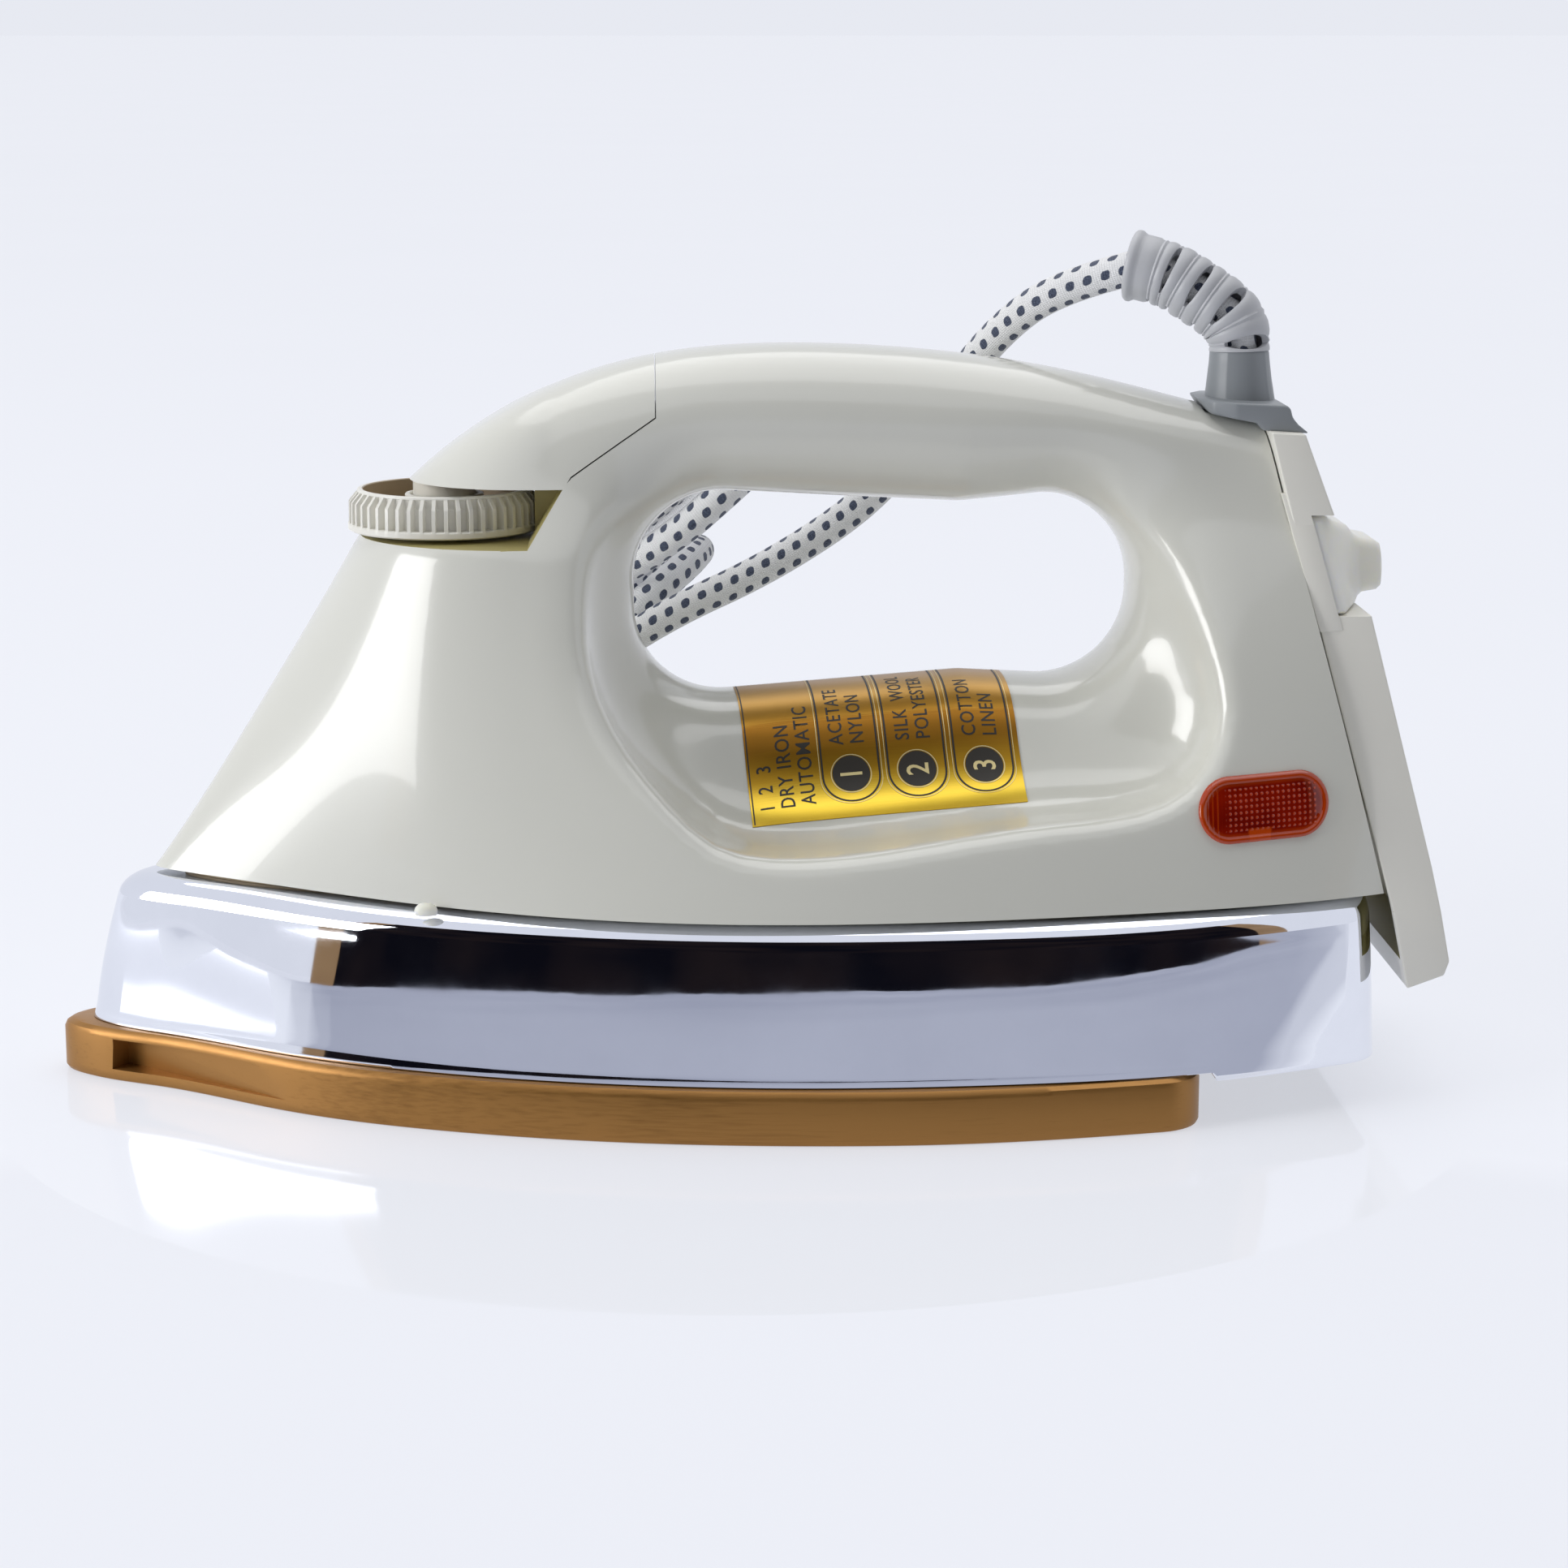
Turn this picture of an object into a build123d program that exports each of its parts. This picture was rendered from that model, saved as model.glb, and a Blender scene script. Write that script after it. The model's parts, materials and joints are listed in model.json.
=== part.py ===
from build123d import *
from math import cos, hypot, pi, radians, sin
import os

# Heavy automatic dry iron, tip towards -X, heel towards +X, soleplate face on z = 0.
# The soleplate, heating element and cast weight form the hot base under a plated cover. The one-piece
# moulded body with its handle stands on it and carries the dial, pilot lamp, rear cover and mains lead.
# Sizes are in millimetres. The origin is the centre of the iron's base.

os.makedirs("parts", exist_ok=True)

# ---- driving dimensions -------------------------------------------------------------------------
TIP_X = -127.5
OVERALL_HALF_LENGTH = 127.5
SOLE_THICKNESS = 10.0
COVER_TOP = 38.2
SHEET = 0.8
BODY_BASE = 39.0
WALL = 3.0
WEB_HALF_WIDTH = 19.0
DIAL_X = -54.3
DIAL_RADIUS = 17.7
DIAL_BASE = 102.1
DIAL_HEIGHT = 7.6
NOTCH_FLOOR = 101.3
NOSE_BASE = 111.4
SHAFT_RADIUS = 3.0
RUNNING_FIT = 0.06
ELEMENT_RADIUS = 4.0
ELEMENT_Z = 12.0
LEAD_HOLES = [(78, -26), (78, 26)]
LEAD_HOLE_RADIUS = 5.0
SHAFT_HOLE_RADIUS = 6.0
CORD_DIAMETER = 6.4
TINY = 0.3

# ---- outlines, as half widths along the iron ------------------------------------------------------
SOLE_HALF = [(-108, 15.2), (-84, 31.4), (-52, 46), (-22, 53.6), (8, 57), (40, 56.8), (81, 50)]
COVER_HALF = [(-106, 13.6), (-84, 28.9), (-52, 43.6), (-22, 51.4), (8, 55), (44, 54.4), (84, 48), (116.5, 35)]
SECTIONS = {
    BODY_BASE: [(-110, 0), (-92, 13.5), (-73, 26.5), (-50, 38.5), (-20, 48.4), (10, 51.6), (54, 49), (118, 32)],
    70.0: [(-94, 0), (-83, 14), (-66, 25.5), (-44, 34), (-18, 39.6), (10, 41), (54, 38), (112, 24.5)],
    NOTCH_FLOOR: [(-69.5, 0), (-66, 12), (-57, 21), (-42, 25.4), (-18, 26.2), (10, 25.2), (54, 22.4), (105, 16.5)],
    122.0: [(-61, 0), (-56, 9), (-44, 15), (-30, 17.4), (-12, 17.6), (12, 17.2), (50, 16.4), (103, 12.5)],
    141.0: [(-50, 0), (-46, 3), (-38, 4), (-30, 4.5), (-12, 5), (12, 5), (50, 4.6), (100, 4)],
}


def closed_outline(nose, half, inset=0.0):
    """The face inside a half outline and its mirror image, with a round nose and a straight rear."""
    tip = nose + inset * 1.3
    near = [(x * (1 - inset / OVERALL_HALF_LENGTH), y - inset) for x, y in half]
    near.insert(0, (tip + 0.22 * (near[0][0] - tip), 0.42 * near[0][1]))
    far = [(x, -y) for x, y in reversed(near)]
    with BuildSketch(mode=Mode.PRIVATE) as outline:
        with BuildLine():
            Spline(*far, (tip, 0), *near)
            Line(near[-1], far[0])
        make_face()
    return outline.sketch


def hull(inset=0.0):
    """The moulded hood, lofted from the base up to the handle top."""
    with BuildPart(mode=Mode.PRIVATE) as shape:
        for height, half in SECTIONS.items():
            with BuildSketch(Plane.XY.offset(height)):
                add(closed_outline(half[0][0], half[1:], inset))
        loft()
    return shape.part


def side_slab(points, half_width, radius=0.0):
    """A side view outline extruded the same distance each way from the middle plane."""
    with BuildPart(mode=Mode.PRIVATE) as slab:
        with BuildSketch(Plane.XZ) as outline:
            Polygon(*points, align=None)
            if radius:
                fillet(outline.vertices(), radius)
        extrude(amount=half_width, both=True)
    return slab.part


SILHOUETTE = [(-112, 36), (-109.7, 39.8), (-101.6, 56.8), (-93.7, 70.5), (-87.4, 79.7), (-78.1, 91.7), (-70, 100.6)]
TOP_LINE = [(-60, 111), (-46.3, 121.6), (-31.3, 129.7), (-15.4, 134.2), (5.8, 135.8), (35.6, 134.6), (84, 126)]
REAR_TOP = (95.5, 121.0)
REAR_BASE = (116.2, 36.0)


def body_side():
    """The side view of the hood, handle and nose together."""
    with BuildPart(mode=Mode.PRIVATE) as side:
        with BuildSketch(Plane.XZ):
            with BuildLine():
                Spline(*SILHOUETTE, *TOP_LINE)
                Polyline(TOP_LINE[-1], (86.6, 122.4), REAR_TOP, REAR_BASE, SILHOUETTE[0])
            make_face()
        extrude(amount=70, both=True)
    return side.part


CHAMBER_SIDE = [
    (-102, 42), (-91, 66), (-79, 84), (-67, 98), (-45, 117), (-30, 125), (-15, 130), (6, 131.6),
    (36, 130.6), (78, 123), (91, 117.5), (111.2, 42),
]
WEB_CORE = [(-40, 42), (-34, 64), (-14, 67.5), (60, 71), (84, 66), (92, 42)]
HOLE = [(-19.6, 109.2), (-19.6, 71.2), (71.9, 75.9), (71.9, 105.6)]
HOLE_CORNER = 15.0
POCKET = [(-27, 104), (-25, 78), (-6, 47), (40, 50), (88, 64), (82, 95), (62, 123), (-14, 125)]
NOTCH = [(-90, NOTCH_FLOOR), (-38.5, NOTCH_FLOOR), (-32.2, NOSE_BASE), (-90, NOSE_BASE)]
NOSE_REGION = [
    (-90, NOSE_BASE - TINY), (-32.4, NOSE_BASE - TINY), (-30.6, 113.4), (-15.4, 123.8), (-15.4, 150), (-90, 150),
]


def grown(points, amount):
    """An outline pushed outwards from its own middle by about the amount."""
    cx = sum(x for x, _ in points) / len(points)
    cz = sum(z for _, z in points) / len(points)
    moved = []
    for x, z in points:
        reach = hypot(x - cx, z - cz)
        moved.append((cx + (x - cx) * (1 + 1.3 * amount / reach), cz + (z - cz) * (1 + 1.3 * amount / reach)))
    return moved


def save(part, name):
    """Labels a finished piece and writes it."""
    part.label = name
    export_step(part, f"parts/{name}.step")
    print(f"{name}: {len(part.solids())} solids, {part.volume / 1000:.2f} cm3")


# ---- soleplate and what is clamped on it ----------------------------------------------------------
SOLE_EDGE = 1.2
REAR_CORNER = 9.0
GROOVE_AT = (-103, 24.4)
GROOVE_ANGLE = 33.0
GROOVE_SIZE = (36, 9)
GROOVE_HEIGHT = 4.6
ELEMENT_PATH = [(72, -27), (-62, -27), (-96, 0), (-62, 27), (72, 27)]
ELEMENT_BENDS = [22, 9, 22]
STUDS = [(-84, 0), (50, 0)]
STUD_RADIUS = 2.5
STUD_SEAT = 5.5
STUD_LENGTH = 44.0
THERMOSTAT_WINDOW = (44, 30)


def element_tube(radius):
    """The U-shaped path of the sheathed element as a round rod."""
    with BuildPart(mode=Mode.PRIVATE) as rod:
        with BuildLine(Plane.XY.offset(ELEMENT_Z)) as path:
            FilletPolyline(*ELEMENT_PATH, radius=ELEMENT_BENDS)
        with BuildSketch(Plane(origin=path.line @ 0, z_dir=path.line % 0)):
            Circle(radius)
        sweep(path=path.line)
    return rod.part


with BuildPart() as soleplate:
    with BuildSketch() as sole_face:
        add(closed_outline(TIP_X, SOLE_HALF))
        fillet(sole_face.vertices().sort_by(Axis.X)[-2:], REAR_CORNER)
    extrude(amount=SOLE_THICKNESS)
    fillet(soleplate.faces().sort_by(Axis.Z)[0].edges(), SOLE_EDGE)
    for side in (-1, 1):
        groove = Plane(
            origin=(GROOVE_AT[0], side * GROOVE_AT[1], SOLE_THICKNESS / 2),
            x_dir=(cos(radians(GROOVE_ANGLE)), side * sin(radians(GROOVE_ANGLE)), 0),
        )
        with BuildSketch(groove.offset(-GROOVE_HEIGHT / 2)):
            Trapezoid(*GROOVE_SIZE, 80)
        extrude(amount=GROOVE_HEIGHT, mode=Mode.SUBTRACT)
    add(element_tube(ELEMENT_RADIUS + 0.05), mode=Mode.SUBTRACT)
    with Locations(*[Pos(x, y, SOLE_THICKNESS) for x, y in STUDS]):
        Hole(STUD_RADIUS, depth=6)
save(soleplate.part, "soleplate")

heating_element = element_tube(ELEMENT_RADIUS)
save(heating_element, "heating_element")

with BuildPart() as element_terminals:
    with BuildSketch(Plane.YZ.offset(72)):
        with Locations((-27, ELEMENT_Z), (27, ELEMENT_Z)):
            Circle(1.6)
    extrude(amount=12)
    with BuildSketch(Plane.YZ.offset(84)):
        with Locations((-27, ELEMENT_Z + 3), (27, ELEMENT_Z + 3)):
            Rectangle(0.9, 9)
    extrude(amount=9)
save(element_terminals.part, "element_terminals")

PLATE_BASE = SOLE_THICKNESS + 0.2
PLATE_TOP = 22.0
with BuildPart() as pressure_plate:
    with BuildSketch(Plane.XY.offset(PLATE_BASE)) as plate_face:
        add(closed_outline(TIP_X + 14, [(x, y - 9) for x, y in SOLE_HALF[1:6]] + [(70, 42)]))
        fillet(plate_face.vertices().sort_by(Axis.X)[-2:], 8)
        with Locations((DIAL_X + 2, 0)):
            RectangleRounded(*THERMOSTAT_WINDOW, 5, mode=Mode.SUBTRACT)
    extrude(amount=PLATE_TOP - PLATE_BASE)
    fillet(pressure_plate.faces().sort_by(Axis.Z)[-1].outer_wire().edges(), 2)
    add(element_tube(ELEMENT_RADIUS + 0.15), mode=Mode.SUBTRACT)
    with Locations(*[Pos(x, y, PLATE_TOP) for x, y in STUDS]):
        Hole(STUD_RADIUS + 0.4)
save(pressure_plate.part, "pressure_plate")

with BuildPart() as mounting_studs:
    for x, y in STUDS:
        with BuildSketch(Plane.XY.offset(SOLE_THICKNESS - STUD_SEAT)):
            with Locations((x, y)):
                Circle(STUD_RADIUS - 0.02)
        extrude(amount=STUD_LENGTH)
save(mounting_studs.part, "mounting_studs")


def hex_nuts(base, across_flats, height, bore):
    """One hexagon nut on each stud."""
    with BuildPart() as nuts:
        for x, y in STUDS:
            with BuildSketch(Plane.XY.offset(base)):
                with Locations((x, y)):
                    RegularPolygon(across_flats / 2, 6, major_radius=False)
                    Circle(bore, mode=Mode.SUBTRACT)
            extrude(amount=height)
    return nuts.part


save(hex_nuts(PLATE_TOP + 0.05, 8, 4, STUD_RADIUS), "plate_nuts")

# ---- plated cover and heat shield -------------------------------------------------------------------
COVER_BASE = SOLE_THICKNESS - 3.0
COVER_NOSE = -122.0
COVER_LEVELS = [(COVER_BASE, 0.0), (24.0, 1.2), (34.0, 2.6), (36.8, 3.8), (COVER_TOP, 6.2)]


def cover_solid(inset=0.0, drop=0.0):
    """The plated cover's outer form: steep sides that draw in towards a rounded shoulder."""
    with BuildPart(mode=Mode.PRIVATE) as form:
        for height, narrowing in COVER_LEVELS:
            with BuildSketch(Plane.XY.offset(height - drop)) as level:
                nose = COVER_NOSE + 2.0 * narrowing
                add(closed_outline(nose, [(x, y - narrowing) for x, y in COVER_HALF], inset))
                fillet(level.vertices().sort_by(Axis.X)[-2:], 10)
        loft(ruled=True)
    return form.part


with BuildPart() as sole_clearance:
    with BuildSketch():
        add(closed_outline(TIP_X, SOLE_HALF))
    extrude(amount=SOLE_THICKNESS + 0.15)

with BuildPart() as chrome_cover:
    add(cover_solid())
    add(cover_solid(SHEET, SHEET), mode=Mode.SUBTRACT)
    add(sole_clearance.part, mode=Mode.SUBTRACT)
    with Locations(*[Pos(x, y, COVER_TOP) for x, y in STUDS]):
        Hole(STUD_RADIUS + 0.5, depth=4)
    with Locations((DIAL_X, 0, COVER_TOP)):
        Hole(SHAFT_HOLE_RADIUS, depth=4)
    with Locations(*[Pos(x, y, COVER_TOP) for x, y in LEAD_HOLES]):
        Hole(LEAD_HOLE_RADIUS, depth=4)
save(chrome_cover.part, "chrome_cover")

SHIELD_TOP = BODY_BASE - 0.1
with BuildPart() as heat_shield:
    with BuildSketch(Plane.XY.offset(COVER_TOP + 0.05)) as shield_face:
        add(closed_outline(-104, [(x, y - 6) for x, y in SECTIONS[BODY_BASE][2:-1]] + [(104, 28)]))
        with Locations((DIAL_X, 0)):
            Circle(SHAFT_HOLE_RADIUS, mode=Mode.SUBTRACT)
        with Locations(*STUDS):
            Circle(STUD_RADIUS + 0.5, mode=Mode.SUBTRACT)
        with Locations(*LEAD_HOLES):
            Circle(LEAD_HOLE_RADIUS, mode=Mode.SUBTRACT)
    extrude(amount=SHIELD_TOP - COVER_TOP - 0.05)
save(heat_shield.part, "heat_shield")

# ---- moulded body, nose cover -----------------------------------------------------------------------
outer_hull = hull() & body_side()
chamber = hull(WALL) & side_slab(CHAMBER_SIDE, 70)
pocket_web = side_slab(grown(POCKET, WALL), 70)
for region in (pocket_web, side_slab(grown(NOTCH, 2.6), 70)):
    chamber = chamber - region
chamber = chamber + side_slab(WEB_CORE, WEB_HALF_WIDTH - WALL)
nose_region = side_slab(NOSE_REGION, 70)

pocket_cutter = side_slab(POCKET, 70, 9) - side_slab(grown(POCKET, 8), WEB_HALF_WIDTH)


def seam_plane(z, clear=0.0):
    """A plane on the rear parting face at a height, normal pointing backwards and its x across the iron."""
    lean = (REAR_BASE[0] - REAR_TOP[0]) / (REAR_TOP[1] - REAR_BASE[1])
    x = REAR_TOP[0] + (REAR_TOP[1] - z) * lean
    normal = Vector(1, 0, lean).normalized()
    return Plane(origin=Vector(x, 0, z) + normal * clear, x_dir=(0, 1, 0), z_dir=normal)


WINDOW_SIZE = (16, 26)
LENS_SIZE = (23.4, 11.5)
LENS_X, LENS_Z = 93.4, 56.5
with BuildPart() as body_shell:
    add(outer_hull)
    add(pocket_cutter, mode=Mode.SUBTRACT)
    add(side_slab(HOLE, 70, HOLE_CORNER), mode=Mode.SUBTRACT)
    add(side_slab(NOTCH, 70), mode=Mode.SUBTRACT)
    with BuildSketch(Plane(origin=(DIAL_X, 0, NOTCH_FLOOR))):
        Circle(DIAL_RADIUS + 0.9)
    extrude(amount=NOSE_BASE - NOTCH_FLOOR, mode=Mode.SUBTRACT)
    add(nose_region, mode=Mode.SUBTRACT)
    add(chamber, mode=Mode.SUBTRACT)
    with Locations((DIAL_X, 0, NOTCH_FLOOR)):
        Hole(SHAFT_RADIUS + RUNNING_FIT, depth=8)
    with BuildSketch(Plane.XY.offset(BODY_BASE - 4)):
        with Locations((DIAL_X, 0), (18, 0)):
            RectangleRounded(34, 26, 5)
        with Locations(*STUDS):
            Circle(STUD_RADIUS + 0.5)
        with Locations(*LEAD_HOLES):
            Circle(LEAD_HOLE_RADIUS)
    extrude(amount=9, mode=Mode.SUBTRACT)
    for height in (104, 62):
        with BuildSketch(seam_plane(height, -8)):
            RectangleRounded(*WINDOW_SIZE, 3)
        extrude(amount=12, mode=Mode.SUBTRACT)
    with BuildSketch(Plane.XZ.offset(20)):
        with Locations((LENS_X, LENS_Z)):
            SlotOverall(LENS_SIZE[0] - 3, LENS_SIZE[1] - 3)
    extrude(amount=40, mode=Mode.SUBTRACT)
save(body_shell.part, "body_shell")

NOSE_FLOOR_TOP = NOSE_BASE + 2.6
HUB_RADIUS = 4.2
with BuildPart() as nose_cover:
    add(outer_hull)
    add(side_slab(grown(NOSE_REGION, -0.25), 70), mode=Mode.INTERSECT)
    nose_floor = side_slab([(-90, 100), (0, 100), (0, NOSE_FLOOR_TOP), (-90, NOSE_FLOOR_TOP)], 70)
    add(chamber - nose_floor, mode=Mode.SUBTRACT)
    with Locations((DIAL_X, 0, NOSE_FLOOR_TOP)):
        Hole(HUB_RADIUS + RUNNING_FIT, depth=6)
save(nose_cover.part, "nose_cover")

# ---- rear cover, cord hook ----------------------------------------------------------------------------
REAR_SIDE = [
    (95.9, 120.6), (102.2, 120.2), (107, 107), (113.6, 89.7), (124.2, 43.5), (127.5, 26.6), (126.6, 24),
    (119.9, 21.6), (116.9, 35.9),
]
REAR_VIEW = [(-14.5, 124), (14.5, 124), (17.4, 102), (34.5, 36), (35, 10), (-35, 10), (-34.5, 36), (-17.4, 102)]
HOOK_Z = 98.0


def rear_view_slab(points, reach):
    """A rear view outline extruded along the iron."""
    with BuildPart(mode=Mode.PRIVATE) as slab:
        with BuildSketch(Plane.YZ.offset(80)):
            Polygon(*points, align=None)
        extrude(amount=reach)
    return slab.part


with BuildPart() as rear_cover:
    add(side_slab(REAR_SIDE, 50) & rear_view_slab(REAR_VIEW, 60))
    narrower = [(y * 0.92, z - 2.2 if z > 100 else z + 2) for y, z in REAR_VIEW]
    deep = [(x - 2.2, z) for x, z in REAR_SIDE[1:7]]
    tray = side_slab([(90, 118), *deep, (118, 25.5), (108, 30)], 50) & rear_view_slab(narrower, 60)
    add(tray, mode=Mode.SUBTRACT)
    with BuildSketch(Plane.YZ.offset(98)):
        with Locations((0, HOOK_Z)):
            Rectangle(22, 16)
    extrude(amount=20, mode=Mode.SUBTRACT)
save(rear_cover.part, "rear_cover")

with BuildPart() as cord_hook:
    with BuildSketch(Plane.YZ.offset(105.6)):
        with Locations((0, HOOK_Z)):
            Rectangle(21.4, 15.4)
    with BuildSketch(Plane.YZ.offset(113.5)):
        with Locations((0, HOOK_Z - 1.5)):
            Rectangle(16, 10)
    with BuildSketch(Plane.YZ.offset(116.5)):
        with Locations((0, HOOK_Z - 2.0)):
            Rectangle(15, 9)
    loft(ruled=True)
save(cord_hook.part, "cord_hook")

# ---- pilot lamp, label, locating pip --------------------------------------------------------------------
LENS_FACE_Y = 37.2
with BuildPart() as lamp_lens:
    with BuildSketch(Plane.XZ.offset(28)):
        with Locations((LENS_X, LENS_Z)):
            SlotOverall(LENS_SIZE[0] - 3.4, LENS_SIZE[1] - 3.4)
    extrude(amount=LENS_FACE_Y - 28)
save(lamp_lens.part, "lamp_lens")

with BuildPart() as pilot_lamp:
    with BuildSketch(Plane.YZ.offset(LENS_X - 6)):
        with Locations((-22, LENS_Z)):
            Circle(2.8)
    extrude(amount=12)
save(pilot_lamp.part, "pilot_lamp")

with BuildPart() as lamp_holder:
    with BuildSketch(Plane.YZ.offset(LENS_X - 7)):
        with Locations((-18.2, LENS_Z)):
            Rectangle(8, 9)
        with Locations((-22, LENS_Z)):
            Circle(2.85, mode=Mode.SUBTRACT)
    extrude(amount=14)
save(lamp_holder.part, "lamp_holder")

with BuildPart() as label_plate:
    with BuildSketch(Plane.XZ.offset(WEB_HALF_WIDTH + 0.05)):
        Polygon((-1, 69.5), (50, 71.5), (52, 55), (1.5, 51.5), align=None)
    extrude(amount=0.35)
save(label_plate.part, "label_plate")

with BuildPart() as locating_pips:
    for side in (-1, 1):
        with BuildSketch(Plane.XY.offset(COVER_TOP + 0.05)):
            with Locations((-57, side * 38.2)):
                Circle(1.7)
        extrude(amount=2.4)
save(locating_pips.part, "locating_pips")

# ---- dial and thermostat ---------------------------------------------------------------------------------
RIB_COUNT = 48
dial_axis = Plane(origin=(DIAL_X, 0, DIAL_BASE))
with BuildPart() as dial:
    with BuildSketch(dial_axis):
        Circle(DIAL_RADIUS - 1.0)
    extrude(amount=DIAL_HEIGHT)
    with BuildSketch(dial_axis):
        Circle(DIAL_RADIUS)
    extrude(amount=1.3)
    with BuildSketch(dial_axis.offset(1.3)):
        with PolarLocations(DIAL_RADIUS - 1.2, RIB_COUNT):
            Rectangle(2.2, 1.1)
    extrude(amount=DIAL_HEIGHT - 2.4)
    with BuildSketch(dial_axis.offset(3.2)):
        Circle(DIAL_RADIUS - 2.8)
    extrude(amount=DIAL_HEIGHT, mode=Mode.SUBTRACT)
    with BuildSketch(dial_axis.offset(3.2)):
        Circle(7)
    extrude(amount=3.4)
    with BuildSketch(dial_axis.offset(3.2)):
        Circle(HUB_RADIUS)
    extrude(amount=NOSE_BASE - DIAL_BASE - 3.2 + 1.8)
    with Locations((DIAL_X, 0, DIAL_BASE)):
        Cylinder(SHAFT_RADIUS + 0.02, 12, mode=Mode.SUBTRACT)
save(dial.part, "dial")

with BuildPart() as dial_plate:
    with BuildSketch(dial_axis.offset(3.25)):
        Circle(DIAL_RADIUS - 2.95)
        Circle(7.1, mode=Mode.SUBTRACT)
    extrude(amount=0.8)
save(dial_plate.part, "dial_plate")

TONGUE = (4.4, 1.2)
SHAFT_BASE = 34.0
with BuildPart() as dial_shaft:
    with BuildSketch(Plane(origin=(DIAL_X, 0, SHAFT_BASE))):
        Circle(SHAFT_RADIUS)
    extrude(amount=DIAL_BASE + 5.8 - SHAFT_BASE)
    with BuildSketch(Plane(origin=(DIAL_X, 0, SHAFT_BASE))):
        Rectangle(8, TONGUE[1] + 0.3)
    extrude(amount=5, mode=Mode.SUBTRACT)
save(dial_shaft.part, "dial_shaft")

with BuildPart() as wave_washer:
    with BuildSketch(Plane(origin=(DIAL_X, 0, NOTCH_FLOOR + 0.1))):
        Circle(5.2)
        Circle(SHAFT_RADIUS + 0.4, mode=Mode.SUBTRACT)
    extrude(amount=DIAL_BASE - NOTCH_FLOOR - 0.2)
save(wave_washer.part, "wave_washer")

SCREW_RADIUS = 2.0
SCREW_TIP = 22.4
ARM_Z = 21.4
STACK_X = DIAL_X + 17
ARM_PIVOT_X = DIAL_X + 12.3
KNUCKLE_RADIUS = 0.55
ARM_LENGTH = 15.6
with BuildPart() as adjusting_screw:
    with BuildSketch(Plane(origin=(DIAL_X, 0, SCREW_TIP))):
        Circle(SCREW_RADIUS)
    extrude(amount=11)
    with BuildSketch(Plane(origin=(DIAL_X, 0, SCREW_TIP + 11))):
        Rectangle(*TONGUE)
    extrude(amount=4)
save(adjusting_screw.part, "adjusting_screw")

BRIDGE_Z = 27.0
with BuildPart() as thermostat_bridge:
    with BuildSketch(Plane.XY.offset(BRIDGE_Z)):
        with Locations((DIAL_X, 0)):
            RectangleRounded(26, 10, 2)
            Circle(SCREW_RADIUS + RUNNING_FIT, mode=Mode.SUBTRACT)
    extrude(amount=1.6)
    with BuildSketch(Plane.XY.offset(SOLE_THICKNESS + 0.02)):
        with Locations((DIAL_X - 11.6, 0)):
            Rectangle(1.6, 9)
    extrude(amount=BRIDGE_Z - SOLE_THICKNESS)
save(thermostat_bridge.part, "thermostat_bridge")

with BuildPart() as bimetal_strip:
    with BuildSketch(Plane.XY.offset(12)):
        with Locations((DIAL_X + 7, 0)):
            Rectangle(22, 8)
        with Locations((STACK_X, 0)):
            Circle(1.8, mode=Mode.SUBTRACT)
    extrude(amount=0.9)
save(bimetal_strip.part, "bimetal_strip")

with BuildPart() as stack_insulators:
    for base, height in ((SOLE_THICKNESS + 0.05, 1.9), (12.95, 2.9), (16.95, 3.3), (22.1, 2.0)):
        with BuildSketch(Plane(origin=(STACK_X, 0, base))):
            Circle(4)
            Circle(1.8, mode=Mode.SUBTRACT)
        extrude(amount=height)
save(stack_insulators.part, "stack_insulators")

with BuildPart() as stack_screw:
    with BuildSketch(Plane(origin=(STACK_X, 0, SOLE_THICKNESS + 0.02))):
        Circle(1.5)
    extrude(amount=14.3)
    with BuildSketch(Plane(origin=(STACK_X, 0, 24.2))):
        Circle(3)
    extrude(amount=1.8)
save(stack_screw.part, "stack_screw")

with BuildPart() as fixed_contact_arm:
    with BuildSketch(Plane.XY.offset(16)):
        with Locations((DIAL_X + 8.5, 0)):
            Rectangle(25, 5)
        with Locations((STACK_X, 0)):
            Circle(4.4)
            Circle(1.8, mode=Mode.SUBTRACT)
    extrude(amount=0.8)
    with BuildSketch(Plane(origin=(DIAL_X - 1, 0, 16.8))):
        Circle(1.7)
    extrude(amount=1)
save(fixed_contact_arm.part, "fixed_contact_arm")

with BuildPart() as moving_contact_arm:
    with BuildSketch(Plane.XY.offset(ARM_Z)):
        with Locations((ARM_PIVOT_X - ARM_LENGTH / 2, 0)):
            Rectangle(ARM_LENGTH, 5)
    extrude(amount=0.6)
    with BuildSketch(Plane.XZ.offset(-2.5)):
        with Locations((ARM_PIVOT_X, ARM_Z + 0.3)):
            Circle(KNUCKLE_RADIUS)
    extrude(amount=5)
    with BuildSketch(Plane(origin=(DIAL_X - 1, 0, ARM_Z - 1.2))):
        Circle(1.7)
    extrude(amount=1.25)
save(moving_contact_arm.part, "moving_contact_arm")

with BuildPart() as contact_arm_root:
    with BuildSketch(Plane(origin=(STACK_X, 0, 20.9))):
        Circle(3.8)
        Circle(1.8, mode=Mode.SUBTRACT)
    extrude(amount=1.1)
save(contact_arm_root.part, "contact_arm_root")

with BuildPart() as thermal_fuse:
    with BuildSketch(Plane.YZ.offset(18)):
        with Locations((0, PLATE_TOP + 2.6)):
            Circle(2.2)
    extrude(amount=14)
save(thermal_fuse.part, "thermal_fuse")

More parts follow.
